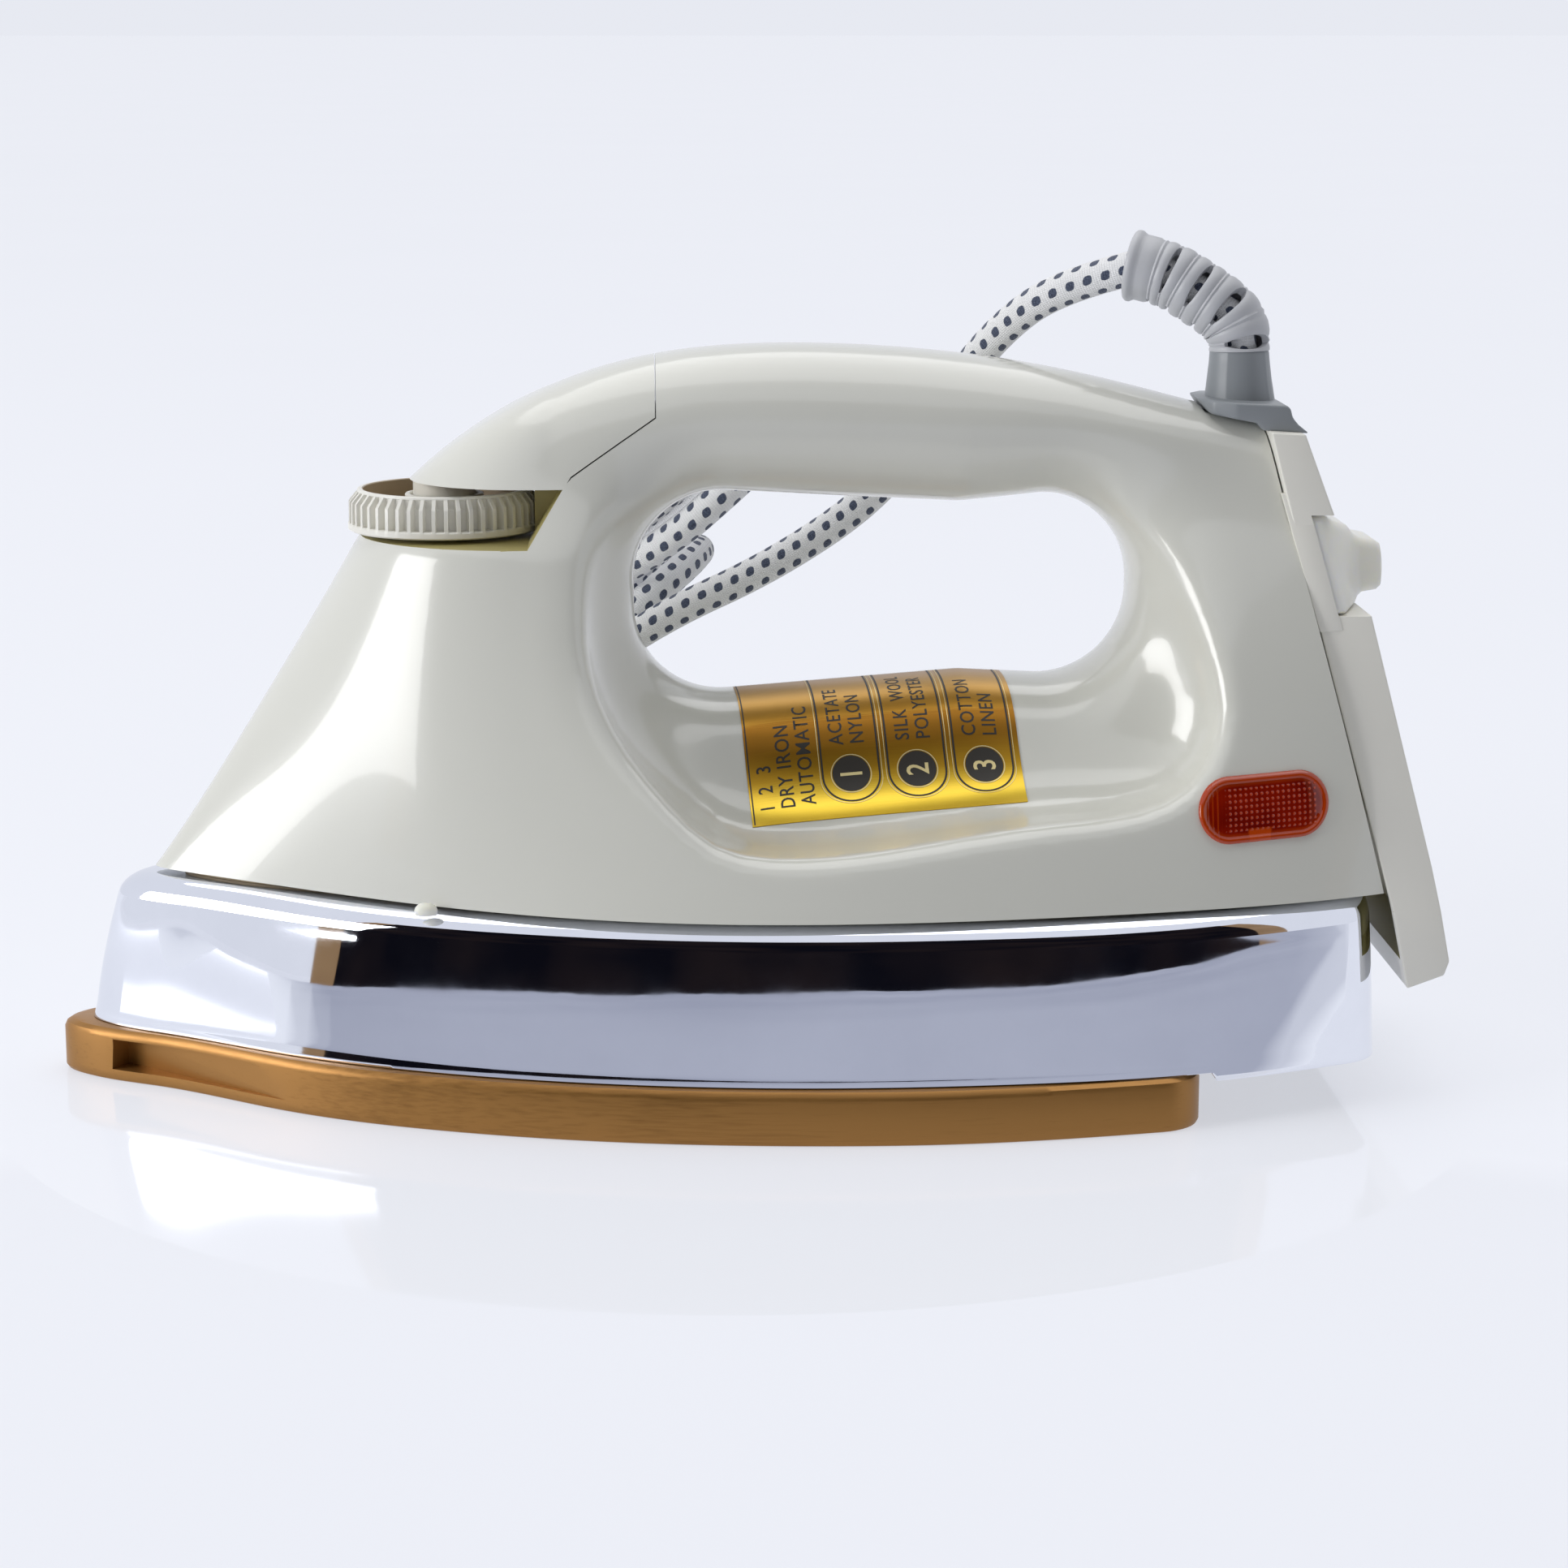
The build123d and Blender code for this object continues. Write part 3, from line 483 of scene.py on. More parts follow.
WEB_HALF = 19.5
REAR_TOP, REAR_BASE = (95.5, 121.0), (116.2, 36.0)
NOTCH = [(-95, NOTCH_FLOOR), (-38.5, NOTCH_FLOOR), (-32.2, NOSE_BASE + 0.05), (-95, NOSE_BASE + 0.05)]
NOSE_REGION = [(-95, NOSE_BASE), (-32.4, NOSE_BASE), (-30.6, 113.4), (NOSE_REAR, 123.8), (NOSE_REAR, 150),
               (-95, 150)]
NOSE_SLANT = [(NOSE_REAR - NOSE_GAP, 123.9), (-30.6 - NOSE_GAP * 0.6, 113.4 + NOSE_GAP * 0.6),
              (-32.4 - NOSE_GAP, NOSE_BASE - 1), (0, NOSE_BASE - 1), (0, 123.9)]
GUARD_SEAT = [(85.0, 123.4), (93.6, 122.2), (99, 121.4), (99, 130), (84.0, 130), (82.6, 127.0)]


def hull(x, y, z):
    """The hood and handle without pockets: plan sections that change with height."""
    t = np.clip((z - BODY_BASE) / HOOD_HEIGHT, -0.2, 1.3)
    s = 0.64 * t + 0.36 * t * t
    base = np.sqrt(y * y + 25) - 5 - np.polyval(BASE_CURVE, np.clip(x, -135, 140))
    ahead = np.maximum(-41 - x, 0)
    half = 25.6 - 0.00045 * np.maximum(x + 41, 0) ** 2
    top = (np.sqrt((y / half) ** 2 + (ahead / HOOD_FRONT) ** 2 + 1e-9) - 1) * half
    hood = (1 - s) * base + s * top
    beak = smin(0.8 * (x + 67.5), 17.4 - 0.00018 * np.maximum(x, 0) ** 2, 8)
    handle = np.sqrt(y * y + 16) - 0.8 - beak
    u = np.clip((z - 99) / 24.0, 0, 1)
    u = u * u * (3 - 2 * u)
    return (1 - u) * hood + u * handle


def body_field(x, y, z):
    """The whole outer skin, as a field that is negative inside."""
    crown = 5 + 12 * np.clip((x + 64) / 30, 0, 1)
    above = (z - np.polyval(TOP_CURVE, np.clip(x, -68, 98))) * 0.95
    web = WEB_HALF + 0.02 * np.maximum(60 - z, 0) ** 2
    scoop = smax(outline_distance(x, z, POCKET_LINE), web - np.abs(y), 15)
    shape = smax(smax(hull(x, y, z), above, crown), -scoop, 3.2)
    hole = outline_distance(x, z, HOLE_CENTRES) - HOLE_CORNER
    return smax(shape, -hole, 19)


def crossing(test, low, high):
    """Where a test that holds at low stops holding on the way to high."""
    for _ in range(40):
        middle = (low + high) / 2
        holds = test(middle)
        low, high = np.where(holds, middle, low), np.where(holds, high, middle)
    return high


def skin_y(x, z):
    """Where lines along +Y meet the body's near side."""
    return crossing(lambda y: body_field(x, y, z) >= 0, np.full(x.shape, -60.0), np.zeros(x.shape))


def plane_cut(obj, spot, normal):
    """Cuts away what is on the normal's side of a plane and closes the cut."""

    def cut(work):
        everything = work.verts[:] + work.edges[:] + work.faces[:]
        made = bmesh.ops.bisect_plane(work, geom=everything, dist=1e-6, plane_co=Vector(spot) * MM,
                                      plane_no=normal, clear_outer=True)
        edges = [e for e in made["geom_cut"] if isinstance(e, bmesh.types.BMEdge)]
        bmesh.ops.holes_fill(work, edges=edges)
        bmesh.ops.recalc_face_normals(work, faces=work.faces)

    return edit_mesh(obj, cut)


def body_pieces():
    """The moulded body and its nose cover, cut from one form."""
    points, quads = iso_surface(body_field, BODY_LOW, BODY_HIGH, BODY_VOXEL)
    whole = face_outwards(mesh_object("moulded_body", points, quads))
    lean = (REAR_BASE[0] - REAR_TOP[0]) / (REAR_TOP[1] - REAR_BASE[1])
    plane_cut(whole, (REAR_TOP[0], 0, REAR_TOP[1]), (1, 0, lean))
    nose = bpy.data.objects.new("nose_moulding", whole.data.copy())
    SCENE.collection.objects.link(nose)
    plane_cut(whole, (0, 0, BODY_BASE), (0, 0, -1))
    plane_cut(nose, (0, 0, NOSE_BASE), (0, 0, -1))
    plane_cut(nose, (NOSE_REAR - 0.2, 0, 0), (1, 0, 0))
    boolean(nose, side_prism("slant", NOSE_SLANT, -40, 40))
    boolean(whole, side_prism("nose_room", NOSE_REGION, -60, 60))
    boolean(whole, side_prism("notch_near", NOTCH, -60, -8))
    boolean(whole, side_prism("notch_far", NOTCH, 8, 60))
    room = level_ring(DIAL_X, 0, NOTCH_FLOOR, round_angles(64), 18.6)
    room_height = NOSE_BASE - NOTCH_FLOOR + 0.05
    boolean(whole, loft_rings("dial_room", [room, room + (0, 0, room_height)], smooth=False))
    boolean(whole, side_prism("guard_seat", GUARD_SEAT, -12.3, 12.3))
    return smooth_by_angle(whole, 34), smooth_by_angle(nose, 34)


# ---- soleplate and plated cover --------------------------------------------------------------------
SOLE_HALF = [(-108, 15.2), (-84, 31.4), (-52, 46), (-22, 53.6), (8, 57), (40, 56.8), (81, 50)]
SOLE_LEVELS = [(4.0, 0.0), (0.9, 0.0), (0.3, 0.28), (0.0, 0.9), (0.0, 2.0), (0.0, 8.3), (0.25, 9.2),
               (0.9, 9.85), (1.8, 10.0), (12.0, 10.0)]
SOLE_NOSE, SOLE_CORNER, SOLE_POINTS = -127.5, 9, 420
GROOVE_PLAN = [(-114.8, 6.4), (-83.5, 31.7), (-86, 40), (-124, 20)]
GROOVE_LEAN = (0.8, 0.8, 0, 0)
COVER_HALF = [(-106, 14.6), (-84, 28.9), (-52, 43.6), (-22, 51.4), (8, 55), (44, 54.4), (84, 47.8),
              (115.0, 35)]
COVER_TOP_HALF = [(-97, 12), (-84, 19.2), (-52, 35.6), (-22, 44.4), (8, 48.5), (44, 47.9), (84, 41.4),
                  (112.6, 29.4)]
COVER_POINTS = 520
COVER_FOOT, COVER_SHOULDER = 7.0, 34.0
COVER_ON_SOLE = 10.15
SOLE_REAR = 82.5


def soleplate_mesh():
    """The coated casting with rounded edges and the groove on each side of its tip."""
    rings = []
    for inset, z in SOLE_LEVELS:
        half = [(x - (inset if x > 70 else 0), y - inset) for x, y in SOLE_HALF]
        plan = plan_outline(SOLE_NOSE + 1.6 * inset, half, max(SOLE_CORNER - inset, 2.0), SOLE_POINTS)
        rings.append(np.column_stack([plan, np.full(len(plan), z)]))
    obj = loft_rings("soleplate_casting", rings)
    for side in (-1, 1):
        low = [(x, side * y, 2.3) for x, y in GROOVE_PLAN]
        high = [(x, side * (y + lean), 8.1) for (x, y), lean in zip(GROOVE_PLAN, GROOVE_LEAN)]
        boolean(obj, prism("groove", low, high))
    return smooth_by_angle(obj, 30)


def cover_levels():
    """Inset and height of each ring of the cover: leaning sides, a round shoulder and the flat top."""
    levels = []
    for z in (COVER_FOOT, 7.3, *np.linspace(8.5, COVER_SHOULDER, 18)):
        t = (z - COVER_FOOT) / 27
        levels.append((27 * (math.tan(math.radians(2.6)) * t + 0.5 * math.radians(6.2) * t * t), z))
    base = levels[-1][0]
    for angle in range(10, 91, 8):
        turn = math.radians(angle)
        inset = base + 4.0 * (math.cos(math.radians(9)) - math.cos(turn))
        levels.append((inset, COVER_SHOULDER + 4.2 * (math.sin(turn) - 0.156) / 0.844))
    return levels + [(levels[-1][0] + 4, 38.2)]


def chrome_mesh():
    """The plated steel cover, its foot on the soleplate and lower behind it."""
    foot = plan_outline(-122.0, COVER_HALF, 10, COVER_POINTS)
    head = plan_outline(-109.8, COVER_TOP_HALF, 7, COVER_POINTS)
    rings = []
    for k, (inset, z) in enumerate(cover_levels()):
        plan = foot + (head - foot) * inset / 6.5
        ring = np.column_stack([plan, np.full(len(plan), z)])
        if k == 0:
            ring[:, 2] = np.where(plan[:, 0] < SOLE_REAR, COVER_ON_SOLE, z + 1.6)
            ring[:, 1] *= 0.9975
        elif z < 12:
            on_sole = COVER_ON_SOLE + (z - COVER_FOOT) * 0.4
            ring[:, 2] = np.where(plan[:, 0] < SOLE_REAR, on_sole, z + 0.32 * (12 - z))
        rings.append(ring)
    obj = loft_rings("plated_cover", rings, caps=(False, True))
    return smooth_by_angle(modify(obj, "SOLIDIFY", thickness=0.8 * MM, offset=-1), 40)


# ---- label -----------------------------------------------------------------------------------------
LABEL_WIDTH = 50.0
LABEL_COLUMNS, LABEL_ROWS, LABEL_RAYS = 61, 49, 160
LABEL_LEFT, LABEL_SPAN, LABEL_SKEW = -1.2, 49.8, 2.6
SADDLE_LOW, SADDLE_RISE = 48.0, 4.2
FOIL_LIFTS = (0.16, 0.02)
DARK_LIFT, PALE_LIFT = 0.2, 0.235
TONGUE_LEFTS = (13.6, 25.7, 37.9)
TONGUE_WORDS = (("ACETATE", "NYLON"), ("SILK  WOOL", "POLYESTER"), ("COTTON", "LINEN"))
TONGUE_RADIUS = 5.2
TONGUE_FOOT = 3.9


def label_grid():
    """Points of the saddle's skin under the label, their outward normals and the label's height."""
    angles = np.radians(np.linspace(95, 6.5, LABEL_RAYS))
    skew = LABEL_SKEW * np.linspace(0, 1, LABEL_RAYS) ** 1.2

    def ray_points(share, reach):
        """Points at a reach from the saddle's middle, at a share of the label's width."""
        x = LABEL_LEFT + LABEL_SPAN * share + skew
        z = SADDLE_LOW + SADDLE_RISE * share + reach * np.sin(angles)
        return np.column_stack([x, -reach * np.cos(angles), z])

    lines = []
    for share in np.linspace(0, 1, LABEL_COLUMNS):
        reach = crossing(lambda r: body_field(*ray_points(share, r).T) < 0, np.full(LABEL_RAYS, 2.0),
                         np.full(LABEL_RAYS, 60.0))
        lines.append(ray_points(share, reach))
    grid = np.array([even_points(line, LABEL_ROWS) for line in lines])
    slopes = gradient(body_field, grid.reshape(-1, 3)).reshape(grid.shape)
    height = sum(distances(line)[-1] for line in lines) / LABEL_COLUMNS
    return grid, slopes / np.linalg.norm(slopes, axis=2)[..., None], height


def label_spot(grid, normals, a, b, lift):
    """A point on the label from shares across (left to right) and down (top to bottom)."""
    fa = np.clip(np.asarray(a, float), 0, 1) * (LABEL_COLUMNS - 1)
    fb = np.clip(np.asarray(b, float), 0, 1) * (LABEL_ROWS - 1)
    i, j = np.minimum(fa.astype(int), LABEL_COLUMNS - 2), np.minimum(fb.astype(int), LABEL_ROWS - 2)
    s, t = (fa - i)[:, None], (fb - j)[:, None]

    def blend(table):
        return ((1 - s) * (1 - t) * table[i, j] + s * (1 - t) * table[i + 1, j]
                + (1 - s) * t * table[i, j + 1] + s * t * table[i + 1, j + 1])

    return blend(grid) + blend(normals) * lift


def label_sheet(grid, normals):
    """The foil itself, a thin sheet over the saddle."""
    size = LABEL_COLUMNS * LABEL_ROWS
    points = [(grid + normals * lift).reshape(-1, 3) for lift in FOIL_LIFTS]
    faces = band_faces(LABEL_COLUMNS, LABEL_ROWS, closed=False)
    faces += [[v + size for v in face[::-1]] for face in faces]
    spots = np.arange(size).reshape(LABEL_COLUMNS, LABEL_ROWS)
    rim = [*spots[:, 0], *spots[-1, 1:], *spots[-2::-1, -1], *spots[0, -2:0:-1]]
    faces += [[a, b, b + size, a + size] for a, b in zip(rim, rim[1:] + rim[:1])]
    obj = face_outwards(mesh_object("label_foil", np.concatenate(points), faces))
    layer = obj.data.uv_layers.new(name="across_down")
    for loop in obj.data.loops:
        across, down = divmod(loop.vertex_index % size, LABEL_ROWS)
        layer.data[loop.index].uv = (across / (LABEL_COLUMNS - 1), down / (LABEL_ROWS - 1))
    return smooth_by_angle(obj, 50)


def print_and_shade_mesh(name, shapes, grid, normals, height, lift):
    """Printed marks and painted shadow lines: flat shapes in label millimetres (across, up from the foot),
    laid on the foil.
    """
    points, faces = [], []
    for flat, flat_faces in shapes:
        first = len(points)
        points += [tuple(p) for p in flat]
        faces += [[first + k for k in face] for face in flat_faces]
    flat = np.array(points, float)
    spots = label_spot(grid, normals, flat[:, 0] / LABEL_WIDTH, 1 - flat[:, 1] / height, lift)
    return mesh_object(name, spots, faces)


def stroke(line, width):
    """A ribbon of a width along a flat line."""
    line = np.array(line, float)
    runs = np.gradient(line, axis=0)
    runs /= np.linalg.norm(runs, axis=1)[:, None]
    side = np.column_stack([-runs[:, 1], runs[:, 0]]) * width / 2
    return np.concatenate([line + side, line - side]), band_faces(2, len(line), closed=False)


def disc(centre, radius, inner=0.0, sides=40):
    """A flat disc, or a flat ring when it has an inner radius."""
    angles = round_angles(sides)
    ring = np.column_stack([np.cos(angles), np.sin(angles)])
    return np.concatenate([ring * r + centre for r in np.linspace(radius, inner, 4)]), band_faces(4, sides)


def lettering(text, size, left, foot):
    """Flat letters that read upwards, as a fine mesh in label millimetres."""
    data = bpy.data.curves.new("letters", "FONT")
    data.body = text
    data.size = size * 1.4
    data.resolution_u = 3
    data.space_character = 1.1
    data.offset = 0.012 * size
    work = bmesh.new()
    work.from_mesh(mesh_of("letters", data))
    bmesh.ops.triangulate(work, faces=work.faces)
    bmesh.ops.remove_doubles(work, verts=work.verts, dist=0.001)
    long_edges = [e for e in work.edges if e.calc_length() > 1.2]
    bmesh.ops.subdivide_edges(work, edges=long_edges, cuts=1)
    bmesh.ops.triangulate(work, faces=work.faces)
    points = [(left - v.co.y, foot + v.co.x * 0.86) for v in work.verts]
    faces = [[v.index for v in f.verts] for f in work.faces]
    work.free()
    return points, faces


def label_print_and_shadow_line(grid, normals, height):
    """Dark outlines, discs and generic words, a painted shadow line along the foil's left edge, and the pale
    figures and edges over them.
    """
    dark, pale = [], []
    for k, (left, pair) in enumerate(zip(TONGUE_LEFTS, TONGUE_WORDS)):
        middle, round_z = left + TONGUE_RADIUS + 0.2, TONGUE_FOOT + TONGUE_RADIUS
        arc = [(middle + TONGUE_RADIUS * math.cos(a), round_z + TONGUE_RADIUS * math.sin(a))
               for a in np.linspace(math.pi, 2 * math.pi, 28)]
        sides = np.linspace(height, round_z, 30)
        line = [(middle - TONGUE_RADIUS, y) for y in sides[:-1]] + arc
        line += [(middle + TONGUE_RADIUS, y) for y in sides[-2::-1]]
        dark.append(stroke(line, 0.36))
        outer = [(x + (x - middle) * 0.09, y - (0.5 if y < round_z else 0)) for x, y in line]
        pale.append(stroke(outer, 0.12))
        centre = (middle, round_z + 0.3)
        dark.append(disc(centre, 3.45))
        pale.append(disc(centre, 3.75, 3.58))
        figure, faces = lettering(str(k + 1), 4.1, 0, 0)
        figure = np.array(figure)
        pale.append((figure + centre - (figure.max(0) + figure.min(0)) / 2, faces))
        for word, at in zip(pair, (4.5, 8.3)):
            dark.append(lettering(word, 2.6, left + at, 15.0))
    for word, at, foot in (("1  2  3", 4.4, 3.4), ("DRY IRON", 8.2, 3.7), ("AUTOMATIC", 12.0, 4.0)):
        dark.append(lettering(word, 2.7, at, foot))
    # A painted shadow: a dark line down the foil's left edge.
    dark.append(stroke([(0.45, y) for y in np.linspace(height, 0.4, 30)], 0.25))
    return (print_and_shade_mesh("label_dark_print_and_shadow_line", dark, grid, normals, height, DARK_LIFT),
            print_and_shade_mesh("label_pale_print", pale, grid, normals, height, PALE_LIFT))


# ---- pilot lamp lens -------------------------------------------------------------------------------
LAMP_AT = (92.6, 56.0)
LAMP_HALF = (12.2, 5.75)
LAMP_TILT = math.radians(2.0)
LENS_LEVELS = [(0.0, -1.2), (0.0, 0.35), (0.25, 0.75), (0.7, 0.95), (1.05, 0.8), (1.25, 0.62), (1.9, 0.72),
               (3.2, 0.86), (4.5, 0.92), (5.3, 0.94)]
LENS_POINTS = 96


def lens_mesh():
    """The lamp's lens: a raised rounded bar that follows the body's side, with a bevelled rim."""
    angles = round_angles(LENS_POINTS) + math.pi / LENS_POINTS
    straight = np.where(np.cos(angles) > 0, 1, -1) * (LAMP_HALF[0] - LAMP_HALF[1])
    rings = []
    for shrink, lift in LENS_LEVELS:
        radius = LAMP_HALF[1] - shrink
        across, up = radius * np.cos(angles) + straight, radius * np.sin(angles)
        x = LAMP_AT[0] + across * math.cos(LAMP_TILT) - up * math.sin(LAMP_TILT)
        z = LAMP_AT[1] + across * math.sin(LAMP_TILT) + up * math.cos(LAMP_TILT)
        rings.append(np.column_stack([x, skin_y(x, z) - lift, z]))
    return smooth_by_angle(loft_rings("lamp_lens_moulding", rings), 50)


# ---- dial ------------------------------------------------------------------------------------------
DIAL_BASE = 102.1
RIBS = 48
RIB_STEPS = (0.0, 0.29, 0.31, 0.35, 0.65, 0.69, 0.71)
RIB_RISE = (0, 0, 0.5, 1, 1, 0.5, 0)
RIB_PROFILE = [
    (1.45, 17.45, 17.6), (1.5, 15.75, 17.55), (5.3, 15.7, 17.5), (5.4, 15.6, 17.45), (5.6, 15.55, 17.3),
    (6.95, 15.5, 16.15),
]
SKIRT_PROFILE = [(0.0, 0.2), (0.0, 17.2), (0.3, 17.7), (1.2, 17.7)]
TOP_PROFILE = [
    (7.15, 16.0), (7.45, 15.9), (7.6, 15.65), (7.6, 15.1), (7.45, 14.9), (4.1, 14.75), (4.08, 7.1),
    (6.3, 7.25), (6.55, 7.05), (6.55, 6.45), (6.35, 6.25), (5.2, 6.2), (5.1, 5.75), (8.7, 5.7), (8.85, 5.5),
    (8.85, 3.4), (11.0, 3.4), (11.1, 3.2), (11.1, 0.2),
]


def dial_mesh():
    """The ribbed dial: skirt, ribs with slanted heads, rim, recess, raised ring and hub."""
    profile = [(z, r, r) for z, r in SKIRT_PROFILE] + RIB_PROFILE + [(z, r, r) for z, r in TOP_PROFILE]
    angles = np.array([2 * math.pi / RIBS * (k + step) for k in range(RIBS) for step in RIB_STEPS])
    rise = np.tile(np.array(RIB_RISE, float), RIBS)
    rings = [level_ring(DIAL_X, 0, DIAL_BASE + z, angles, valley + (rib - valley) * rise)
             for z, valley, rib in profile]
    return smooth_by_angle(loft_rings("ribbed_dial", rings), 28)


# ---- heel cover and cord hook ----------------------------------------------------------------------
REAR_SIDE = [(95.9, 120.6), (102.2, 120.2), (107, 107), (113.6, 89.7), (124.2, 43.5), (127.5, 26.6),
             (126.6, 24), (119.9, 21.6), (116.9, 35.9)]
REAR_VIEW = [(-14.6, 121), (14.6, 121), (17.4, 102), (34.5, 36), (35, 10), (-35, 10), (-34.5, 36),
             (-17.4, 102)]
REAR_HOLLOW = [(100, 86), (110.9, 86), (121.2, 42.5), (123.8, 29.8), (118, 26.2), (108, 30)]
HOOK_ROOM = [(103.2, 105.7), (120, 105.7), (120, 87.8), (107.2, 87.8)]
PANEL = [(97.9, 109.6), (102.1, 109.4), (103.6, 104.6), (108.6, 85.4), (104.5, 85.1), (101.2, 97.4)]
HOOK_LOW, HOOK_HIGH = 87.95, 105.5
SIDE_NAMES = {-1: "near", 1: "far"}


def rear_cover_mesh():
    """The heel cover with rounded edges, hollow towards the body."""
    obj = side_prism("heel_cover", REAR_SIDE, -50, 50)
    boolean(obj, rear_prism("rear_view", REAR_VIEW, 80, 140), "INTERSECT")
    round_edges(obj, 1.1, 4, 20)
    inner = [(y * 0.95, z - 2.4 if z > 100 else z + 2.4) for y, z in REAR_VIEW]
    hollow = side_prism("hollow", REAR_HOLLOW, -50, 50)
    boolean(hollow, rear_prism("inner_view", inner, 60, 140), "INTERSECT")
    boolean(obj, hollow)
    boolean(obj, side_prism("hook_room", HOOK_ROOM, -40, 40))
    return smooth_by_angle(obj, 40)


def rear_half(z):
    """Half the heel cover's width at a height."""
    return 17.4 + (102 - z) * 0.259


def panel_mesh(side):
    """The raised panel round the hook's foot, on one side of the heel cover."""
    outside, inside = ([(x, side * (rear_half(z) + lift), z) for x, z in PANEL] for lift in (0.22, -1.2))
    return round_edges(prism(f"hook_panel_{SIDE_NAMES[side]}", outside, inside), 0.12, 2)


def box_section(x, half_y, low, high, corner, lean):
    """A rounded rectangle across the iron, leaning back with height."""
    across, up = rounded_box(half_y, (high - low) / 2, corner, 5).T
    return np.column_stack([x - lean * up, across, (low + high) / 2 + up])


def hook_mesh():
    """The translucent cord hook: a saddle over the heel cover that tapers to a rounded boss."""
    sections = []
    for x, lean, inward, drop in ((105.0, 0.23, 0.5, 0.2), (105.4, 0.23, 0.15, 0), (106.6, 0.22, 0.2, 0),
                                  (107.8, 0.2, 0.9, 0.3)):
        ring = box_section(x, 10, HOOK_LOW, HOOK_HIGH - drop, 1.2, lean)
        ring[:, 1] *= (rear_half(ring[:, 2]) - inward) / 10
        sections.append(ring)
    for boss in ((112.4, 9.6, 88.1, 102.6, 2.0, 0.12), (113.5, 8.2, 89.4, 101.0, 1.9, 0.1),
                 (114.6, 7.6, 90.0, 100.2, 1.8, 0.06), (117.4, 7.3, 90.4, 99.6, 1.8, 0.05),
                 (118.3, 6.8, 91.0, 99.0, 1.9, 0.05), (118.7, 5.6, 92.4, 97.8, 1.9, 0.05)):
        sections.append(box_section(*boss))
    return smooth_by_angle(loft_rings("cord_hook_moulding", sections), 38)


# ---- cord guard and pips ---------------------------------------------------------------------------
GUARD_SIDE = [(83.6, 126.0), (99.0, 125.2), (99.9, 124.6), (100.3, 122.9), (101.4, 121.6), (103.4, 120.0),
              (94.9, 120.6), (93.9, 121.9), (85.6, 123.4)]
GUARD_PLAN = [(83.6, -5), (86.0, -9.6), (90.0, -11.8), (106, -11.8), (106, 11.8), (90.0, 11.8), (86.0, 9.6),
              (83.6, 5)]
COLLAR_LEVELS = [
    (92.4, 123.6, 6.5), (92.4, 125.0, 6.45), (92.3, 126.5, 6.3), (92.2, 129.0, 5.95), (92.15, 132.0, 5.6),
    (92.1, 133.9, 5.45), (92.1, 134.3, 5.25), (92.1, 134.4, 4.4),
]
MOULD_LINES = (238, 318)
PIP_X, PIP_Y = -57, 38.0
PIP_LEVELS = [(38.1, 1.3), (38.8, 1.4), (39.5, 1.25), (40.0, 0.9), (40.25, 0.4)]
SLEEVE_ROUTE = [(92.1, 0, 134.1), (92.05, 0.1, 137.4), (90.0, 0.8, 140.9), (84.2, 2.6, 144.9),
                (78.5, 4.4, 148.3), (72.4, 6.4, 149.4)]
SLEEVE_SIDES = 96
SLEEVE_INNER = 4.3
SLEEVE_SLOTS = [(1.5, 2.1, 0), (4.9, 0.7, 1), (7.9, 1.9, 0), (11.2, 0.7, 1), (14.2, 1.5, 0), (17.2, 0.7, 1),
                (19.9, 1.1, 0), (22.3, 0.7, 1)]
SLOT_TURN = 74.0
SLOT_REACH = (52.0, 100.0)
WALL_STEPS = (0.12, 0.3, 0.5, 0.7, 0.88, 1.0)
SLOT_STEPS = (0.5, 1.0)
LIP_STEPS = (0.15, 0.3, 0.42, 0.5, 0.58, 0.66, 0.75, 0.84, 0.92, 0.97, 1.0)


def flange_mesh():
    """The stepped foot of the cord guard, its front corners cut off."""
    obj = side_prism("guard_flange", GUARD_SIDE, -14, 14)
    low, high = ([(x, y, z) for x, y in GUARD_PLAN] for z in (110, 135))
    boolean(obj, prism("guard_plan", low, high), "INTERSECT")
    return round_edges(obj, 0.55, 3, 25)


def collar_mesh():
    """The stiff collar of the cord guard, with its two mould lines."""
    angles = round_angles(96)
    away = [(np.degrees(angles) - at + 180) % 360 - 180 for at in MOULD_LINES]
    ridge = 0.12 * sum(np.exp(-((a / 2.2) ** 2)) for a in away)
    rings = [level_ring(x, 0, z, angles, radius + ridge) for x, z, radius in COLLAR_LEVELS]
    return smooth_by_angle(loft_rings("guard_collar", rings), 50)


def slot_share(kind, angles):
    """How far each direction is from the middle of a slot, as a share of the slot's reach."""
    away = (angles - math.radians(SLOT_TURN) - kind * math.pi + math.pi) % (2 * math.pi) - math.pi
    return np.abs(away) / math.radians(SLOT_REACH[kind])


def sleeve_rows(total, angles):
    """Distances along the sleeve of each row of points, and the kind of slot after each row."""
    rows, kinds = [np.zeros(len(angles))], []

    def add_rows(first, last, steps, kind):
        rows.extend(first + (last - first) * step for step in steps)
        kinds.extend([kind] * len(steps))

    for at, wide, kind in SLEEVE_SLOTS:
        opening = np.sqrt(np.clip(1.02 - slot_share(kind, angles) ** 2, 0.16, 1)) if kind == 0 else 1.0
        half = np.maximum(wide * opening * np.ones(len(angles)), 0.5) / 2
        add_rows(rows[-1], at - half, WALL_STEPS, None)
        add_rows(at - half, at + half, SLOT_STEPS, kind)
    add_rows(rows[-1], total, LIP_STEPS, None)
    return np.array(rows), kinds


